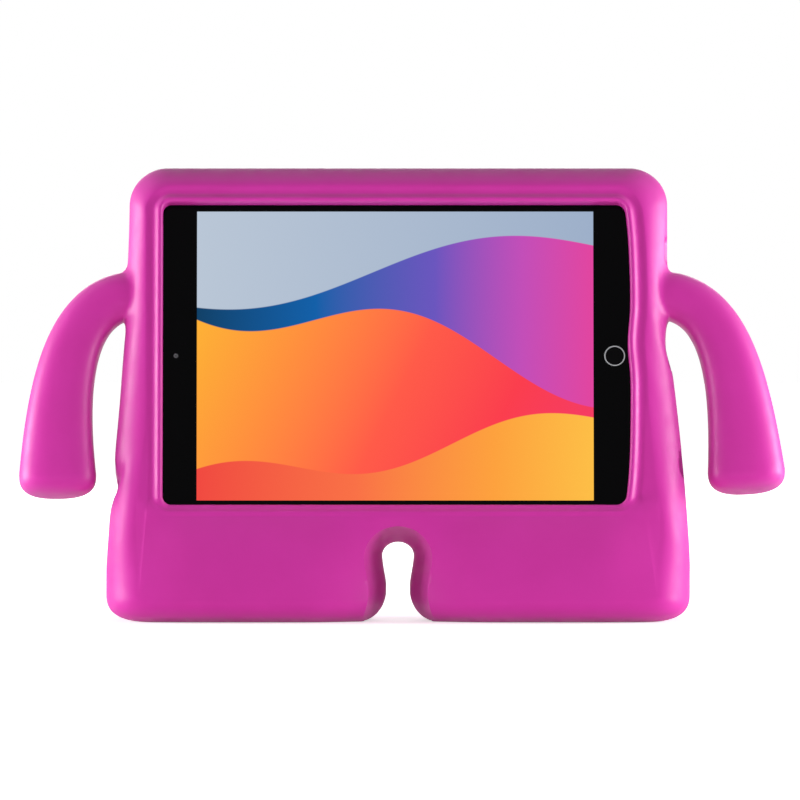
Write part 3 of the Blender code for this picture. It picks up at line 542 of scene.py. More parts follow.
@dataclass
class CaseShape:
    """Sizes and outlines of the moulded case, in screen-plane millimetres.

    u runs to the right along the screen, v up along it and w back from the case's front plane.
    """

    lean: float = math.radians(16.0)
    shift: Spot = (-3.531, -42.112, 0.0)
    offset: float = 1.5
    window_half: float = 122.3
    window_shift: float = -0.6
    window_bottom: float = 64.0
    window_top: float = 226.1
    window_corner: float = 4.5
    pocket_half: float = 125.6
    pocket_half_high: float = 87.35
    pocket_corner: float = 7.3
    tablet_middle: float = 145.25
    lip_under: float = 7.3
    pocket_floor: float = 15.4
    floor_inset: float = 30.0
    window_chamfer: float = 0.3
    bead_profile: tuple[Point, ...] = (
        (0.0, 4.4), (0.0, 2.6), (0.0, 1.1), (0.12, 0.1), (0.35, -0.6), (0.7, -1.1), (1.1, -1.4),
        (1.6, -1.53), (2.1, -1.48), (2.6, -1.26), (3.1, -0.88), (3.6, -0.38), (4.1, -0.04),
        (4.6, 0.26), (5.1, 0.44), (5.7, 0.52), (6.4, 0.5), (7.1, 0.42),
    )
    bead_crest_sink: float = -1.53
    lip_slope: float = 5.6
    lip_slope_width: float = 4.7
    lip_slope_power: float = 1.25
    lip_relief: float = 0.05
    valley_lead: float = 5.0
    valley_fade: float = 9.0
    roll_start_out: float = 7.6
    roll_start_sink: float = 0.35
    roll_crest_sink: float = 0.2
    body_half: float = 140.4
    body_top: float = 247.1
    top_corner: float = 20.0
    roll_crest_out: float = 9.0
    roll_depth: float = 10.6
    roll_power: float = 1.4
    foot_flare: float = 11.8
    flare_top: float = 160.0
    flare_bottom: float = 32.0
    foot_half: float = 152.2
    foot_corner_wide: float = 27.0
    foot_corner_high: float = 17.0
    foot_corner_power: float = 3.0
    toe_forward: float = 12.0
    toe_tip: float = 12.0
    toe_power: float = 1.8
    toe_edge_fade: float = 28.0
    cushion_outer_from: float = 104.0
    cushion_outer_drop: float = 0.5
    cushion_outer_power: float = 1.35
    cushion_inner_from: float = 50.0
    cushion_inner_drop: float = 1.45
    cushion_inner_power: float = 1.7
    leg_top: float = 56.7
    leg_roll_inset: float = 13.0
    leg_shoulder: float = 5.0
    shoulder_bottom: float = 22.0
    shoulder_rise: float = 28.0
    shoulder_from: float = 80.0
    shoulder_width: float = 45.0
    leg_roll_power: float = 1.9
    leg_roll_depth: float = 19.0
    leg_swell_top: float = 98.0
    leg_swell_bottom: float = 24.0
    body_thickness: float = 28.0
    foot_thickness: float = 66.0
    heel_top: float = 128.0
    heel_bottom: float = 14.0
    back_round: float = 8.0
    back_valley: float = 0.55
    back_valley_width: float = 24.0
    panel_sink: float = 3.0
    panel_margin: float = 18.0
    panel_bottom: float = 134.0
    panel_corner: float = 12.0
    panel_corner_least: float = 4.0
    panel_steps: tuple[Point, ...] = (
        (0.5, 0.05), (1.1, 0.3), (1.7, 0.72), (2.3, 0.95), (3.0, 1.0), (26.0, 1.0),
    )
    camera_spot: Point = (-112.7, 219.7)
    charge_dent: Hump = (-1.9, 151.0, 10.0)
    headphone_dent: Hump = (3.0, 77.0, 8.5)
    left_bulge: Hump = (2.0, 165.0, 38.0)
    right_bulge: float = 0.5
    right_bulge_bottom: float = 20.0
    right_bulge_rise: float = 30.0
    wave_top: float = 3.4
    wave_top_fade: float = 20.0
    wave_bottom: float = 3.1
    wave_bottom_fade: float = 18.0
    wave_middle: Hump = (1.5, 151.0, 13.0)
    wave_from: float = 0.7
    notch_height: float = 42.3
    notch_half_top: float = 8.2
    notch_half_narrow: float = 6.1
    notch_narrow_at: float = 17.0
    notch_cap: float = 7.2
    notch_foot_flare: float = 14.0
    notch_foot: float = -30.0
    notch_edge_round: float = 9.0
    notch_bevel: tuple[Point, ...] = (
        (9.6, -0.6), (9.2, 0.1), (8.9, 0.8), (8.3, 2.2), (7.4, 4.4), (6.3, 7.0), (5.2, 9.6), (4.0, 12.2),
        (2.8, 14.6), (1.7, 16.8), (0.8, 18.9), (0.2, 21.0), (0.0, 23.0),
    )
    side_steps: int = 66
    top_steps: int = 78
    bottom_steps: int = 110
    corner_steps: int = 18
    crest_rings: int = 14
    roll_rings: int = 18
    side_rings: int = 9
    back_rings: int = 10
    panel_rings: int = 18

    def leaned(self, u: float, v: float, w: float) -> Vector:
        """Turn screen-plane millimetres into a point of the frame.

        Args:
            u: distance to the right.
            v: distance up along the screen.
            w: distance back from the front plane.

        Returns:
            The point in metres.
        """
        y = v * math.sin(self.lean) + w * math.cos(self.lean)
        z = v * math.cos(self.lean) - w * math.sin(self.lean)
        return (Vector((u, y, z)) + Vector(self.shift)) * MM

    def toe(self, u: float, v: float) -> float:
        """Give how far the front of a leg stands forward.

        Args:
            u: distance to the right of the case's middle.
            v: distance up along the screen.

        Returns:
            The distance, which is nought above the legs.
        """
        t = min(max((v - self.toe_tip) / (self.leg_top - self.toe_tip), 0.0), 1.0)
        full = smooth((self.window_half - abs(u)) / self.toe_edge_fade + 0.5)
        rise = full * (1.0 - t ** self.toe_power) + (1.0 - full) * (1.0 - smooth(t))
        outer_from, inner_from = self.cushion_outer_from, self.cushion_inner_from
        outer = max(abs(u) - outer_from, 0.0) / (self.foot_half - outer_from)
        inner = max(inner_from - abs(u), 0.0) / (inner_from - self.notch_half_narrow)
        outer_fall = self.cushion_outer_drop * min(outer, 1.0) ** self.cushion_outer_power
        inner_fall = self.cushion_inner_drop * min(inner, 1.0) ** self.cushion_inner_power
        return self.toe_forward * rise * (1.0 - outer_fall - inner_fall)

    def thickness(self, u: float, v: float) -> float:
        """Give the depth of the case from its front plane to its back.

        Args:
            u: distance to the right of the case's middle.
            v: distance up along the screen.

        Returns:
            The depth, largest at the heels.
        """
        heel = 1.0 - smooth((v - self.heel_bottom) / (self.heel_top - self.heel_bottom))
        valley = 1.0 - hump(u, self.back_valley, 0.0, self.back_valley_width)
        return self.body_thickness + (self.foot_thickness - self.body_thickness) * heel * valley

    def place(self, u: float, v: float, w: float) -> Vector:
        """Place a point of the moulded foam: toes forward, soles flat, then leaned back.

        Args:
            u: distance to the right of the case's middle.
            v: distance up along the screen.
            w: distance back from the front plane.

        Returns:
            The point in metres.
        """
        depth = max(self.thickness(u, v), 1.0)
        w_out = w - self.toe(u, v) * (1.0 - smooth(w / depth))
        sole = 1.0 - smooth(v / self.leg_top)
        return self.leaned(u + self.offset, v + w_out * math.tan(self.lean) * sole, w_out)

    def place_notch(self, u: float, v: float, w: float) -> Vector:
        """Place a point of the notch's walls, with every depth line level with the floor."""
        w_out = w - self.toe(u, v) * (1.0 - smooth(w / self.thickness(u, v)))
        return self.leaned(u + self.offset, v + w_out * math.tan(self.lean), w_out)

    def framed(self, half: float, low: float, high: float, corner: float) -> Outline:
        """Draw a rounded rectangle whose points match those of the body outline.

        Args:
            half: half its width.
            low: height of its lower edge.
            high: height of its upper edge.
            corner: radius of its corners.

        Returns:
            The points, counter-clockwise from the lower left.
        """
        points = []
        run = half - corner
        rise = high - low - 2.0 * corner
        top = high - corner
        # First the lower edge and the right side, then the upper edge and the left side.
        for turn, edge, start, count in (
            (1.0, low, -90.0, self.bottom_steps), (-1.0, high, 90.0, self.top_steps),
        ):
            points.extend((turn * (2.0 * run * i / count - run), edge) for i in range(count))
            middle = low + corner if turn > 0.0 else top
            for quarter in (0.0, 90.0):
                for i in range(self.corner_steps):
                    a = math.radians(start + quarter + 90.0 * i / self.corner_steps)
                    points.append((turn * run + corner * math.cos(a), middle + corner * math.sin(a)))
                if quarter == 0.0:
                    side = [middle + turn * rise * i / self.side_steps for i in range(self.side_steps)]
                    points.extend((turn * half, v) for v in side)
                    middle = top if turn > 0.0 else low + corner
        return points

    def side_half(self, v: float) -> float:
        """Give the half width of the body at a height, flaring out to the feet."""
        t = min(max((self.flare_top - v) / (self.flare_top - self.flare_bottom), 0.0), 1.0)
        return self.body_half + self.foot_flare * 0.5 * (t + math.sin(t * math.pi / 2))

    def leg_swell(self, v: float) -> float:
        """Give the share of the legs' larger rounding at a height."""
        return 1.0 - smooth((v - self.leg_swell_bottom) / (self.leg_swell_top - self.leg_swell_bottom))

    def body_outline(self, frame_inset: float = 0.0, leg_inset: float = 0.0) -> Outline:
        """Draw the outline of the body and legs without the notch.

        Args:
            frame_inset: how far it is drawn in along the frame.
            leg_inset: how far it is drawn in at the legs.

        Returns:
            The points, counter-clockwise from the lower left.
        """
        sole = self.foot_half - self.foot_corner_wide
        points = [(-sole + 2.0 * sole * i / self.bottom_steps, leg_inset) for i in range(self.bottom_steps)]
        right = []
        power = 2.0 / self.foot_corner_power
        for i in range(self.corner_steps):
            a = math.radians(90.0 * i / self.corner_steps)
            u = sole + (self.foot_corner_wide - leg_inset) * math.sin(a) ** power
            v = leg_inset + (self.foot_corner_high - leg_inset) * (1.0 - math.cos(a) ** power)
            right.append((u, v))
        rise = self.body_top - self.top_corner - self.foot_corner_high
        for i in range(self.side_steps):
            v = self.foot_corner_high + rise * i / self.side_steps
            drawn = frame_inset + (leg_inset - frame_inset) * self.leg_swell(v)
            right.append((self.side_half(v) - drawn, v))
        corner = self.top_corner - frame_inset
        across = self.body_half - self.top_corner
        for i in range(self.corner_steps):
            a = math.radians(90.0 * i / self.corner_steps)
            v = self.body_top - self.top_corner + corner * math.sin(a)
            right.append((across + corner * math.cos(a), v))
        points.extend((u + self.right_extra(v), v) for u, v in right)
        for i in range(self.top_steps):
            points.append((across - 2.0 * across * i / self.top_steps, self.body_top - frame_inset))
        points.append((-across, self.body_top - frame_inset))
        points.extend((-u - self.left_extra(v), v) for u, v in reversed(right[1:]))
        return points

    def right_extra(self, v: float) -> float:
        """Give how much further out the right side stands at a height."""
        rise = smooth((v - self.right_bulge_bottom) / self.right_bulge_rise)
        return self.right_bulge * rise + self.dent(1.0, v)

    def left_extra(self, v: float) -> float:
        """Give how much further out the left side stands at a height."""
        return hump(v, *self.left_bulge) - self.dent(-1.0, v)

    def dent(self, u: float, v: float) -> float:
        """Give the sideways shift at a dent: by the charge opening right, by the headphones left."""
        return hump(v, *(self.charge_dent if u > 0.0 else self.headphone_dent))

    def apex_line(self) -> Outline:
        """Draw the line where the front turns into the roll: near the window, and broad on the legs.

        Returns:
            The points, matching those of the body outline.
        """
        points = []
        ridge = self.window(self.roll_crest_out)
        for (u, v), (a, b) in zip(self.body_outline(self.leg_roll_inset, self.leg_roll_inset), ridge):
            legs = self.leg_swell(v)
            under = 1.0 - smooth((v - self.shoulder_bottom) / self.shoulder_rise)
            beside = smooth((abs(u) - self.shoulder_from) / self.shoulder_width)
            inward = u * (1.0 - self.leg_shoulder * under * beside / self.foot_half)
            points.append((a + (inward - a) * legs, b + (v - b) * legs))
        return points

    def window(self, out: float) -> Outline:
        """Draw the window's outline grown by a distance."""
        points = self.framed(
            self.window_half + out, self.window_bottom - out, self.window_top + out,
            self.window_corner + out,
        )
        return [(u + self.window_shift + self.window_wave(u, v), v) for u, v in points]

    def window_wave(self, u: float, v: float) -> float:
        """Give how far the right edge of the window wanders inwards, as the flexed foam's does.

        Args:
            u: distance to the right of the window's middle.
            v: distance up along the screen.

        Returns:
            The sideways shift, which is nought on the left.
        """
        top = self.wave_top * math.exp(-max(self.window_top - v, 0.0) / self.wave_top_fade)
        bottom = self.wave_bottom * math.exp(-max(v - self.window_bottom, 0.0) / self.wave_bottom_fade)
        start = self.wave_from * self.window_half
        share = smooth((u - start) / (self.window_half - start))
        return -(top + bottom + hump(v, *self.wave_middle)) * share

    def valley(self, v: float) -> float:
        """Give the share of the valley between bead and roll, which fades out above the legs."""
        return smooth((v - self.window_bottom + self.valley_lead) / self.valley_fade)

    def roll_depth_at(self, v: float) -> float:
        """Give the depth over which the front edge is rounded at a height."""
        return self.roll_depth + (self.leg_roll_depth - self.roll_depth) * self.leg_swell(v)

    def crest_sink(self, v: float, t: float) -> float:
        """Give the depth of the front between the roll's crest and the valley.

        Args:
            v: distance up along the screen.
            t: 0 at the roll's crest and 1 in the valley.

        Returns:
            The distance back from the front plane.
        """
        frame_sink = self.roll_crest_sink + (self.roll_start_sink - self.roll_crest_sink) * t * t
        leg_sink = self.bead_crest_sink * t
        return leg_sink + (frame_sink - leg_sink) * self.valley(v)

    def notch_outline(self, grow: float) -> Outline:
        """Draw the gap between the legs.

        Args:
            grow: how much it is grown all round.

        Returns:
            The points from the foot on the right over the top to the foot on the left.
        """
        flare_steps, neck_steps, cap_steps = 27, 9, 18
        right = [(self.notch_half_narrow + self.notch_foot_flare + grow, self.notch_foot)]
        for step in range(flare_steps + 1):
            a = math.radians(80.0 - 72.0 * step / flare_steps)
            half = self.notch_half_narrow + self.notch_foot_flare * (1.0 - math.cos(a))
            right.append((half + grow, self.notch_narrow_at * (1.0 - math.sin(a))))
        cap_at = self.notch_height - self.notch_cap
        for step in range(1, neck_steps):
            t = step / neck_steps
            half = self.notch_half_narrow + (self.notch_half_top - self.notch_half_narrow) * smooth(t)
            right.append((half + grow, self.notch_narrow_at + (cap_at - self.notch_narrow_at) * t))
        for step in range(cap_steps):
            a = math.radians(90.0 * step / cap_steps)
            across = (self.notch_half_top + grow) * math.cos(a)
            right.append((across, cap_at + (self.notch_cap + grow) * math.sin(a)))
        top = [(0.0, cap_at + self.notch_cap + grow)]
        return right + top + [(-u, v) for u, v in reversed(right)]


class GrownSkin:
    """A closed skin grown from one loop of points with the extrude operator."""

    def __init__(self, start: Sequence[Vector]) -> None:
        """Begin with a first loop.

        Args:
            start: the loop's points in metres.
        """
        self.data = bmesh.new()
        self.ring = [self.data.verts.new(spot) for spot in start]
        self.first = list(self.ring)
        count = len(self.ring)
        self.edges = [self.data.edges.new((self.ring[i], self.ring[(i + 1) % count])) for i in range(count)]

    def grow(self, spots: Sequence[Vector]) -> None:
        """Extrude the last loop and move it on to new points.

        Args:
            spots: where the new loop's points go, in the order of the first loop.
        """
        made = bmesh.ops.extrude_edge_only(self.data, edges=self.edges)["geom"]
        fresh = {item for item in made if isinstance(item, bmesh.types.BMVert)}
        ring = []
        for old in self.ring:
            ring.append(next(e.other_vert(old) for e in old.link_edges if e.other_vert(old) in fresh))
        for vert, spot in zip(ring, spots):
            vert.co = spot
        self.ring = ring
        self.edges = [item for item in made if isinstance(item, bmesh.types.BMEdge)
                      and item.verts[0] in fresh and item.verts[1] in fresh]

    def close(self, name: str) -> bpy.types.Object:
        """Cap both ends, point the faces outwards and make the object.

        Args:
            name: the object's name.

        Returns:
            The new object.
        """
        bmesh.ops.contextual_create(self.data, geom=self.first)
        bmesh.ops.contextual_create(self.data, geom=self.ring)
        bmesh.ops.recalc_face_normals(self.data, faces=self.data.faces)
        return as_object(name, self.data)


def as_object(name: str, data: bmesh.types.BMesh) -> bpy.types.Object:
    """Turn a bmesh into an object in the scene.

    Args:
        name: the object's name.
        data: the bmesh, which is freed.

    Returns:
        The object, smooth shaded.
    """
    mesh = bpy.data.meshes.new(name)
    data.to_mesh(mesh)
    data.free()
    mesh.shade_smooth()
    thing = bpy.data.objects.new(name, mesh)
    bpy.context.scene.collection.objects.link(thing)
    return thing


def grown(name: str, rings: Sequence[Sequence[Vector]]) -> bpy.types.Object:
    """Grow a closed skin through matching loops.

    Args:
        name: the object's name.
        rings: the loops from one end to the other.

    Returns:
        The object.
    """
    skin = GrownSkin(rings[0])
    for ring in rings[1:]:
        skin.grow(ring)
    return skin.close(name)


def carve(target: bpy.types.Object, tool: bpy.types.Object, operation: str) -> None:
    """Join or cut one solid with another and drop the tool.

    Args:
        target: the solid that changes.
        tool: the solid that is used up.
        operation: UNION or DIFFERENCE.
    """
    step = target.modifiers.new("carve", "BOOLEAN")
    step.operation = operation
    step.solver = "EXACT"
    step.object = tool
    bpy.context.view_layer.objects.active = target
    bpy.ops.object.modifier_apply(modifier=step.name)
    bpy.data.objects.remove(tool, do_unlink=True)


@dataclass
class FoamCase:
    """The moulded foam: frame with roll, valley and bead, legs, arms, notch and openings."""

    shape: CaseShape
    arm_root_in: float = 7.0
    arm_root_height: float = 179.8
    left_hand: Point = (37.4, 82.8)
    right_hand: Point = (41.5, 85.2)
    arm_bulge: float = 29.0
    arm_elbow_out: float = 38.0
    arm_elbow_rise: float = 56.0
    arm_growth: float = 2.1
    arm_root_half: float = 12.6
    arm_hand_half: float = 20.2
    arm_root_deep: float = 11.0
    arm_hand_deep: float = 14.0
    arm_depth_at: float = 15.5
    arm_shoulder_rise: float = 1.0
    arm_power: float = 2.5
    hand_cap: float = 11.6
    hand_power: float = 2.8
    hand_tip: float = 0.05
    hand_steps: int = 16
    arm_steps: int = 64
    arm_section: int = 64
    camera_hole: float = 8.0
    camera_flare: float = 4.0
    camera_straight: float = 3.0
    camera_flare_run: float = 8.6
    camera_steps: int = 72
    notch_ahead: float = 26.0
    notch_behind: float = 20.0
    notch_steps: int = 18
    slot_height: float = 7.2
    slot_overrun: float = 4.0
    slot_inside: float = 3.0
    slot_steps: int = 24
    slots: tuple[tuple[float, float, int], ...] = (
        (0.0, 16.0, 1), (57.0, 15.0, 1), (-57.0, 15.0, 1), (-70.05, 10.0, -1),
    )
    weld: float = 0.03
    crease_angle: float = math.radians(38.0)
    joint_angle: float = math.radians(22.0)
    joint_inset: float = 9.0
    joint_bottom: float = 155.0
    joint_top: float = 205.0
    joint_back: float = 40.0
    joint_reaches: tuple[int, ...] = (3, 2, 2, 1)
    joint_passes: int = 4

    def flat(self, points: Outline, w: float) -> list[Vector]:
        """Place a ring at one depth of the unbent frame."""
        return [self.shape.leaned(u + self.shape.offset, v, w) for u, v in points]

    def from_back(self, points: Outline, forward: float) -> list[Vector]:
        """Place a ring at a distance in front of the back surface."""
        s = self.shape
        return [s.place(u, v, s.thickness(u, v) - forward) for u, v in points]

    def front_rings(self, apex: Outline) -> list[list[Vector]]:
        """Place the rings of the front: lip, bead, valley and the slope up to the roll.

        Args:
            apex: the line where the front turns into the roll.

        Returns:
            The rings from the window outwards.
        """
        s = self.shape
        rings = []
        for out, sink in s.bead_profile:
            slope = s.lip_slope * max(1.0 - out / s.lip_slope_width, 0.0) ** s.lip_slope_power
            legs = s.bead_crest_sink + slope + s.lip_relief * max(sink - s.bead_crest_sink, 0.0)
            rings.append([s.place(u, v, legs + (sink - legs) * s.valley(v)) for u, v in s.window(out)])
        start = s.window(s.roll_start_out)
        for step in range(s.crest_rings):
            t = 1.0 - step / s.crest_rings
            rings.append([s.place(u, v, s.crest_sink(v, t)) for u, v in between(apex, start, t)])
        return rings

    def roll_ring(self, a: float, edge: Outline, apex: Outline) -> list[Vector]:
        """Place one ring of the roll, which is rounder on the legs than along the frame.

        Args:
            a: how far round it lies, from a right angle at the front to nought at the side.
            edge: the outline of the sides.
            apex: the line where the front turns into the roll.

        Returns:
            The ring's points in metres.
        """
        s = self.shape
        power = 2.0 / s.roll_power
        leg_power = 2.0 / s.leg_roll_power
        ring = []
        for (edge_u, edge_v), (apex_u, apex_v) in zip(edge, apex):
            legs = s.leg_swell(edge_v)
            near, deep = (
                (1.0 - side ** power) * (1.0 - legs) + (1.0 - side ** leg_power) * legs
                for side in (math.cos(a), math.sin(a))
            )
            dent = s.dent(edge_u, edge_v) * (1.0 - near) * (1.0 - (1.0 - near) ** 2)
            u = edge_u + (apex_u - edge_u) * near - dent
            v = edge_v + (apex_v - edge_v) * near
            crest = s.crest_sink(v, 0.0)
            ring.append(s.place(u, v, crest + (s.roll_depth_at(v) - crest) * deep))
        return ring

    def body(self) -> bpy.types.Object:
        """Grow the body from the pocket floor over lip, bead, valley, roll, sides and back.

        Returns:
            The body without arms, notch and openings.
        """
        s = self.shape
        low = s.tablet_middle - s.pocket_half_high
        high = s.tablet_middle + s.pocket_half_high
        pocket = s.framed(s.pocket_half, low, high, s.pocket_corner)
        inset = s.floor_inset
        small = s.framed(s.pocket_half - inset, low + inset, high - inset, s.pocket_corner)
        rings = [[s.leaned(u, v, s.pocket_floor) for u, v in small]]
        rings += [[s.leaned(u, v, w) for u, v in pocket] for w in (s.pocket_floor, s.lip_under)]
        rings.append(self.flat(s.window(s.window_chamfer), s.lip_under))
        rings.append(self.flat(s.window(0.0), s.lip_under - 1.0))
        apex = s.apex_line()
        edge = s.body_outline()
        rings += self.front_rings(apex)
        for step in range(s.roll_rings + 1):
            rings.append(self.roll_ring(math.radians(90.0 - 90.0 * step / s.roll_rings), edge, apex))
        for step in range(1, s.side_rings):
            ring = []
            for u, v in edge:
                front = s.roll_depth_at(v)
                side = s.thickness(u, v) - s.back_round - front
                ring.append(s.place(u, v, front + side * (step / s.side_rings)))
            rings.append(ring)
        for step in range(s.back_rings + 1):
            a = math.radians(90.0 * step / s.back_rings)
            near = s.back_round * (1.0 - math.cos(a))
            rings.append(self.from_back(s.body_outline(near, near), s.back_round * (1.0 - math.sin(a))))
        rim = s.body_outline(s.back_round, s.back_round)
        half = s.body_half - s.panel_margin
        top = s.body_top - s.panel_margin
        panel = s.framed(half, s.panel_bottom, top, s.panel_corner)
        for step in range(1, s.panel_rings + 1):
            rings.append(self.from_back(between(rim, panel, step / s.panel_rings), 0.0))
        for turn, drop in s.panel_steps:
            corner = max(s.panel_corner - turn, s.panel_corner_least)
            points = s.framed(half - turn, s.panel_bottom + turn, top - turn, corner)
            rings.append(self.flat(points, s.body_thickness - s.panel_sink * drop))
        return grown("moulded_foam_case", rings)

    def arm(self, side: Side) -> bpy.types.Object:
        """Grow one arm from inside the body's side to its rounded hand.

        Args:
            side: which arm.

        Returns:
            The arm.
        """
        s = self.shape
        root = Vector((s.body_half - self.arm_root_in, self.arm_root_height))
        out, height = self.right_hand if side is Side.RIGHT else self.left_hand
        hand = Vector((s.body_half + out, height))
        shoulder_height = self.arm_root_height + self.arm_shoulder_rise
        shoulder = Vector((s.body_half + self.arm_bulge, shoulder_height))
        elbow = Vector((s.body_half + self.arm_elbow_out, hand.y + self.arm_elbow_rise))
        stations = []
        for i in range(self.arm_steps + 1):
            t = i / self.arm_steps
            k = 1.0 - t
            middle = root * k ** 3 + shoulder * 3 * k * k * t + elbow * 3 * k * t * t + hand * t ** 3
            along = (shoulder - root) * k * k + (elbow - shoulder) * 2 * k * t + (hand - elbow) * t * t
            grow = t ** self.arm_growth
            half = self.arm_root_half + (self.arm_hand_half - self.arm_root_half) * grow
            deep = self.arm_root_deep + (self.arm_hand_deep - self.arm_root_deep) * grow
            stations.append((middle, along.normalized(), half, deep))
        end, along, half, deep = stations[-1]
        for step in range(1, self.hand_steps + 1):
            a = math.radians(90.0 * step / self.hand_steps)
            reach = math.sin(a) ** (2.0 / self.hand_power)
            keep = math.cos(a) ** (2.0 / self.hand_power) if step < self.hand_steps else self.hand_tip
            stations.append((end + along * self.hand_cap * reach, along, half * keep, deep * keep))
        rings = []
        power = 2.0 / self.arm_power
        for middle, along, half, deep in stations:
            across = Vector((-along.y, along.x))
            ring = []
            for i in range(self.arm_section):
                a = 2.0 * math.pi * (i + 0.5) / self.arm_section
                c = math.copysign(abs(math.cos(a)) ** power, math.cos(a))
                d = math.copysign(abs(math.sin(a)) ** power, math.sin(a))
                spot = middle + across * half * c
                depth = self.arm_depth_at + deep * d
                ring.append(s.leaned(side.value * spot.x + s.offset, spot.y, depth))
            rings.append(ring)
        return grown("arm_tool", rings)

    def notch(self) -> bpy.types.Object:
        """Grow the cutter for the gap between the legs, flared so that its edges come out rounded.

        Returns:
            The cutter.
        """
        s = self.shape
        r = s.notch_edge_round
        widest = s.notch_outline(s.notch_bevel[0][0] + 0.3)
        rings = [[s.place_notch(u, v, -self.notch_ahead) for u, v in widest]]
        for grow, depth in s.notch_bevel:
            rings.append([s.place_notch(u, v, depth) for u, v in s.notch_outline(grow)])
        ends = []
        for step in range(self.notch_steps, 1, -1):
            depth = r * (1.0 - math.cos(math.radians(90.0 * step / self.notch_steps)))
            ends.append((r - math.sqrt(max(r * r - (r - depth) ** 2, 0.0)), -depth))
        ends.append((r * 1.05, self.notch_behind))
        for grow, behind in ends:
            outline = s.notch_outline(grow)
            rings.append([s.place_notch(u, v, s.thickness(u, v) + behind) for u, v in outline])
        return grown("notch_tool", rings)

    def slot(self, middle: float, length: float, side: int) -> bpy.types.Object:
        """Make a stadium-shaped cutter from the pocket out through one side.

        Args:
            middle: height of its middle along the screen.
            length: its length along the screen.
            side: which side it leaves by.

        Returns:
            The cutter.
        """
        s = self.shape
        at = (s.lip_under + s.pocket_floor) / 2.0
        half = self.slot_height / 2.0
        straight = max(length / 2.0 - half, 0.0)
        ring = []
        for i in range(self.slot_steps + 1):
            a = math.pi * i / self.slot_steps - math.pi / 2.0
            ring.append((straight + half * math.cos(a), half * math.sin(a)))
        ring += [(-x, -y) for x, y in ring]
        reaches = (s.pocket_half - self.slot_inside, s.side_half(middle) + self.slot_overrun)
        rings = [[s.leaned(side * reach, middle + x, at + y) for x, y in ring] for reach in reaches]
        return grown("slot_tool", rings)

    def camera_opening(self) -> bpy.types.Object:
        """Make the flared cutter for the rear camera's hole.

        Returns:
            The cutter.
        """
        s = self.shape
        u, v = s.camera_spot
        rings = []
        flare_at = s.pocket_floor + self.camera_straight
        steps = [(self.camera_hole, s.pocket_floor - 2.0), (self.camera_hole, flare_at)]
        for t in (i / 8.0 for i in range(1, 9)):
            steps.append((self.camera_hole + self.camera_flare * t * t, flare_at + self.camera_flare_run * t))
        steps.append((self.camera_hole + self.camera_flare + 1.2, s.body_thickness + 1.0))
        for radius, w in steps:
            ring = []
            for i in range(self.camera_steps):
                a = 2.0 * math.pi * i / self.camera_steps
                ring.append(s.leaned(u + radius * math.cos(a), v + radius * math.sin(a), w))
            rings.append(ring)
        return grown("camera_tool", rings)

    def soften(self, thing: bpy.types.Object) -> None:
        """Round the creases where the arms join the body, as a mould does, and mark what stays sharp.

        Args:
            thing: the foam piece.
        """
        data = bmesh.new()
        data.from_mesh(thing.data)
        bmesh.ops.remove_doubles(data, verts=data.verts, dist=self.weld * MM)
        near = self.arm_joint_verts(data)
        for reach in self.joint_reaches:
            zone = list(self.widened(near, reach))
            for _ in range(self.joint_passes):
                bmesh.ops.smooth_vert(
                    data, verts=zone, factor=0.5, use_axis_x=True, use_axis_y=True, use_axis_z=True,
                )
        bmesh.ops.recalc_face_normals(data, faces=data.faces)
        for edge in data.edges:
            if len(edge.link_faces) == 2 and edge.calc_face_angle(0.0) > self.crease_angle:
                edge.smooth = False
        data.to_mesh(thing.data)
        data.free()

    def arm_joint_verts(self, data: bmesh.types.BMesh) -> set:
        """Find the points of the creases where the arms leave the body.

        Args:
            data: the joined mesh.

        Returns:
            The points on those creases.
        """
        s = self.shape
        found = set()
        for edge in data.edges:
            if len(edge.link_faces) != 2 or edge.calc_face_angle_signed(0.0) > -self.joint_angle:
                continue
            spot = (edge.verts[0].co + edge.verts[1].co) / 2.0 / MM - Vector(s.shift)
            v = spot.y * math.sin(s.lean) + spot.z * math.cos(s.lean)
            w = spot.y * math.cos(s.lean) - spot.z * math.sin(s.lean)
            beside = abs(spot.x - s.offset) > s.body_half - self.joint_inset
            if beside and self.joint_bottom < v < self.joint_top and w < self.joint_back:
                found.update(edge.verts)
        return found

    @staticmethod
    def widened(verts: set, rings: int) -> set:
        """Grow a choice of points by their neighbours.

        Args:
            verts: the points.
            rings: how many times their neighbours are added.

        Returns:
            The larger choice.
        """
        zone = set(verts)
        for _ in range(rings):
            zone |= {edge.other_vert(vert) for vert in zone for edge in vert.link_edges}
        return zone

    def build(self) -> bpy.types.Object:
        """Make the whole foam piece.

        Returns:
            The piece, in the frame.
        """
        s = self.shape
        case = self.body()
        for side in Side:
            carve(case, self.arm(side), "UNION")
        carve(case, self.notch(), "DIFFERENCE")
        self.soften(case)
        for middle, length, side in self.slots:
            carve(case, self.slot(s.tablet_middle + middle, length, side), "DIFFERENCE")
        carve(case, self.camera_opening(), "DIFFERENCE")
        return case


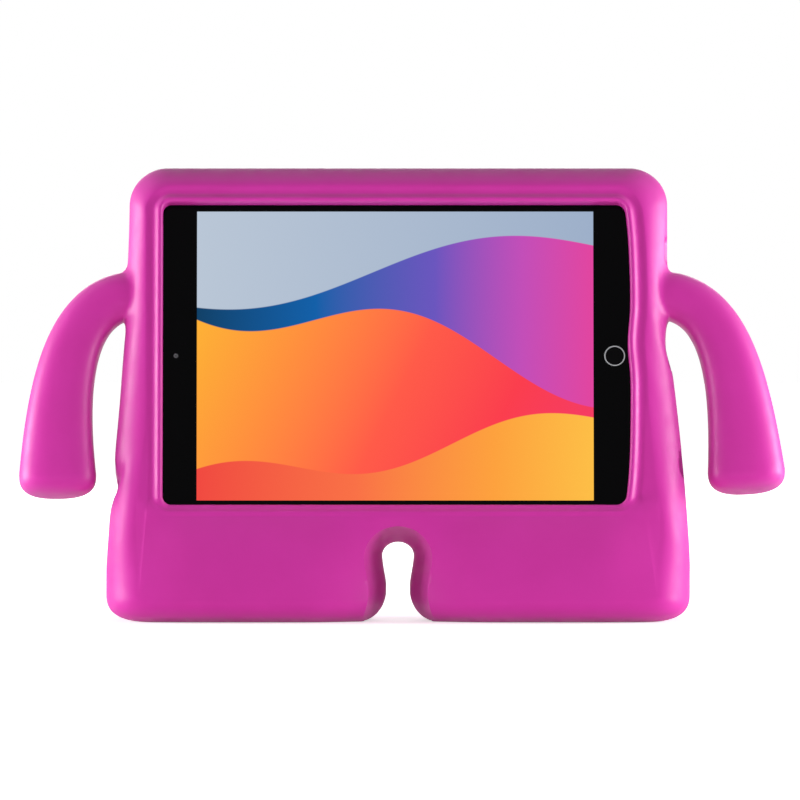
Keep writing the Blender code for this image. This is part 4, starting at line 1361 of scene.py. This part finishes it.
@dataclass
class Tablet:
    """The tablet's CAD pieces and the finishes they get."""

    shape: CaseShape
    home_spot: Point = (114.75, 145.25)
    front_w: float = 7.6
    back_w: float = 15.1

    def dress(self) -> None:
        """Give every piece its material."""
        s = self.shape
        centre = s.leaned(0.0, s.tablet_middle, self.front_w)
        home = s.leaned(*self.home_spot, self.front_w)
        rear = s.leaned(*s.camera_spot, self.back_w)
        shell = BlastedAluminium().build()
        black = MouldedPlastic("moulded_black_nylon", "#101113", "#17181B").build()
        crystal = MouldedPlastic("home_button_crystal", "#060607", "#08080A", 0.1, 6.0, 0.03).build()
        film = MouldedPlastic("display_backing_film", "#C9CDD2", "#D3D6DA", 0.3).build()
        foil, foil_b = (
            MouldedPlastic(name, "#24262A", "#2E3136", 0.35, 3.0).build()
            for name in ("battery_pouch_foil", "battery_pouch_foil_b")
        )
        turned = TurnedMetal("turned_ring_aluminium", "#9A9B9E", tuple(home), s.lean, 0.42).build()
        rear_ring = TurnedMetal("turned_camera_ring", "#AEB0B4", tuple(rear), s.lean).build()
        lens = CoatedLens().build()
        board = CircuitBoard().build()
        skins = {
            "tablet_housing": shell,
            "front_glass": ScreenGlass().build(centre, s.lean),
            "display_panel": film,
            "home_ring": turned,
            "home_button": crystal,
            "home_sensor_board": board,
            "front_camera": lens,
            "rear_camera_ring": rear_ring,
            "rear_camera_lens": lens,
            "rear_camera_module": black,
            "power_button": shell,
            "volume_up_button": shell,
            "volume_down_button": shell,
            "charge_port": black,
            "headphone_socket": black,
            "speaker_upper": black,
            "speaker_lower": black,
            "battery_left": foil,
            "battery_right": foil_b,
            "logic_board": board,
        }
        for name, skin in skins.items():
            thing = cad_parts[name]
            thing.data.materials.clear()
            thing.data.materials.append(skin)
            LOG.info("%s: %s", name, skin.name)


@dataclass
class Studio:
    """A round white floor in white air, softboxes at both sides, in front and behind, and the camera."""

    aim: Spot = (-0.001, -0.0515, 0.1168)
    distance: float = 12.0
    elevation: float = math.radians(2.4)
    width_mm: float = 416.2
    sensor: float = 36.0
    far: float = 60.0
    floor_radius: float = 3.0
    lamp_aim: Spot = (0.0, 0.0, 0.12)
    lamps: tuple[tuple[Light, Spot, Point, float], ...] = (
        (Light.KEY, (-1.0, -0.08, 0.16), (0.7, 0.6), 14.5),
        (Light.KEY, (1.0, -0.1, 0.16), (0.8, 0.6), 16.5),
        (Light.FILL, (0.0, -1.35, 0.1), (1.0, 0.4), 9.5),
        (Light.BACK, (0.0, 1.5, 0.6), (1.2, 0.6), 9.0),
    )

    def floor(self) -> None:
        """Make the floor as one round sheet that fades into the white air beyond it."""
        data = bmesh.new()
        bmesh.ops.create_circle(data, cap_ends=True, radius=self.floor_radius, segments=96)
        sheet = as_object("studio_floor", data)
        skin, tree, shader, spots = blank("matt_white_paper")
        fill(tree, shader, {"Base Color": linear("#F2F2F2"), "Roughness": 0.9, "Specular IOR Level": 0.2})
        away = add_node(tree, "VectorMath", {0: spots}, operation="LENGTH")
        level = add_node(
            tree, "MapRange",
            {"Value": away.outputs["Value"], "From Min": 0.25, "From Max": 0.9, "To Min": 0.6, "To Max": 1.0},
        )
        glow = add_node(tree, "Emission", {"Color": linear("#FFFFFF"), "Strength": level.outputs["Result"]})
        both = add_node(tree, "AddShader", {0: shader.outputs["BSDF"], 1: glow.outputs[0]})
        pick = add_node(
            tree, "MixShader", {"Fac": seen_rays(tree), 1: shader.outputs["BSDF"], 2: both.outputs[0]},
        )
        end = next(node for node in tree.nodes if node.type == "OUTPUT_MATERIAL")
        fill(tree, end, {"Surface": pick.outputs[0]})
        sheet.data.materials.append(skin)

    def lamp(self, kind: Light, spot: Spot, size: Point, power: float) -> None:
        """Add one softbox.

        Args:
            kind: what it is for.
            spot: where it stands.
            size: its width and height.
            power: its strength in watts.
        """
        lamp = bpy.data.lights.new(f"{kind.value}_softbox", "AREA")
        lamp.shape = "RECTANGLE"
        lamp.size, lamp.size_y = size
        lamp.energy = power
        thing = bpy.data.objects.new(lamp.name, lamp)
        thing.location = spot
        turn = (Vector(self.lamp_aim) - Vector(spot)).to_track_quat("-Z", "Y")
        thing.rotation_euler = turn.to_euler()
        bpy.context.scene.collection.objects.link(thing)

    def lights(self) -> None:
        """Set up the world, which is white only where it is seen, and the softboxes."""
        world = bpy.data.worlds.new("studio_air")
        world.use_nodes = True
        tree = world.node_tree
        level = add_node(tree, "MapRange", {"Value": seen_rays(tree), "To Min": 0.02, "To Max": 1.0})
        air = {"Color": linear("#FFFFFF"), "Strength": level.outputs["Result"]}
        fill(tree, tree.nodes["Background"], air)
        bpy.context.scene.world = world
        for kind, spot, size, power in self.lamps:
            self.lamp(kind, spot, size, power)

    def camera(self) -> None:
        """Stand the camera far off at the photograph's angle."""
        lens = bpy.data.cameras.new("photo_camera")
        lens.sensor_width = self.sensor
        lens.lens = self.sensor * self.distance / (self.width_mm * MM)
        lens.clip_end = self.far
        thing = bpy.data.objects.new("photo_camera", lens)
        back = Vector((0.0, -math.cos(self.elevation), math.sin(self.elevation)))
        thing.location = Vector(self.aim) + back * self.distance
        thing.rotation_euler = (-back).to_track_quat("-Z", "Y").to_euler()
        bpy.context.scene.collection.objects.link(thing)
        bpy.context.scene.camera = thing

    def build(self) -> None:
        """Set the whole studio up."""
        self.floor()
        self.lights()
        self.camera()
        bpy.context.scene.view_settings.view_transform = "Standard"


def main() -> None:
    """Build, dress and light everything."""
    logging.basicConfig(level=logging.INFO, format="%(name)s: %(message)s")
    shape = CaseShape()
    case = FoamCase(shape).build()
    case.data.materials.clear()
    case.data.materials.append(MouldedFoam().build())
    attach(case, "case_and_tablet")
    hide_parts("foam_case")
    LOG.info("%s: %d faces", case.name, len(case.data.polygons))
    Tablet(shape).dress()
    Studio().build()


if __name__ == "__main__":
    main()
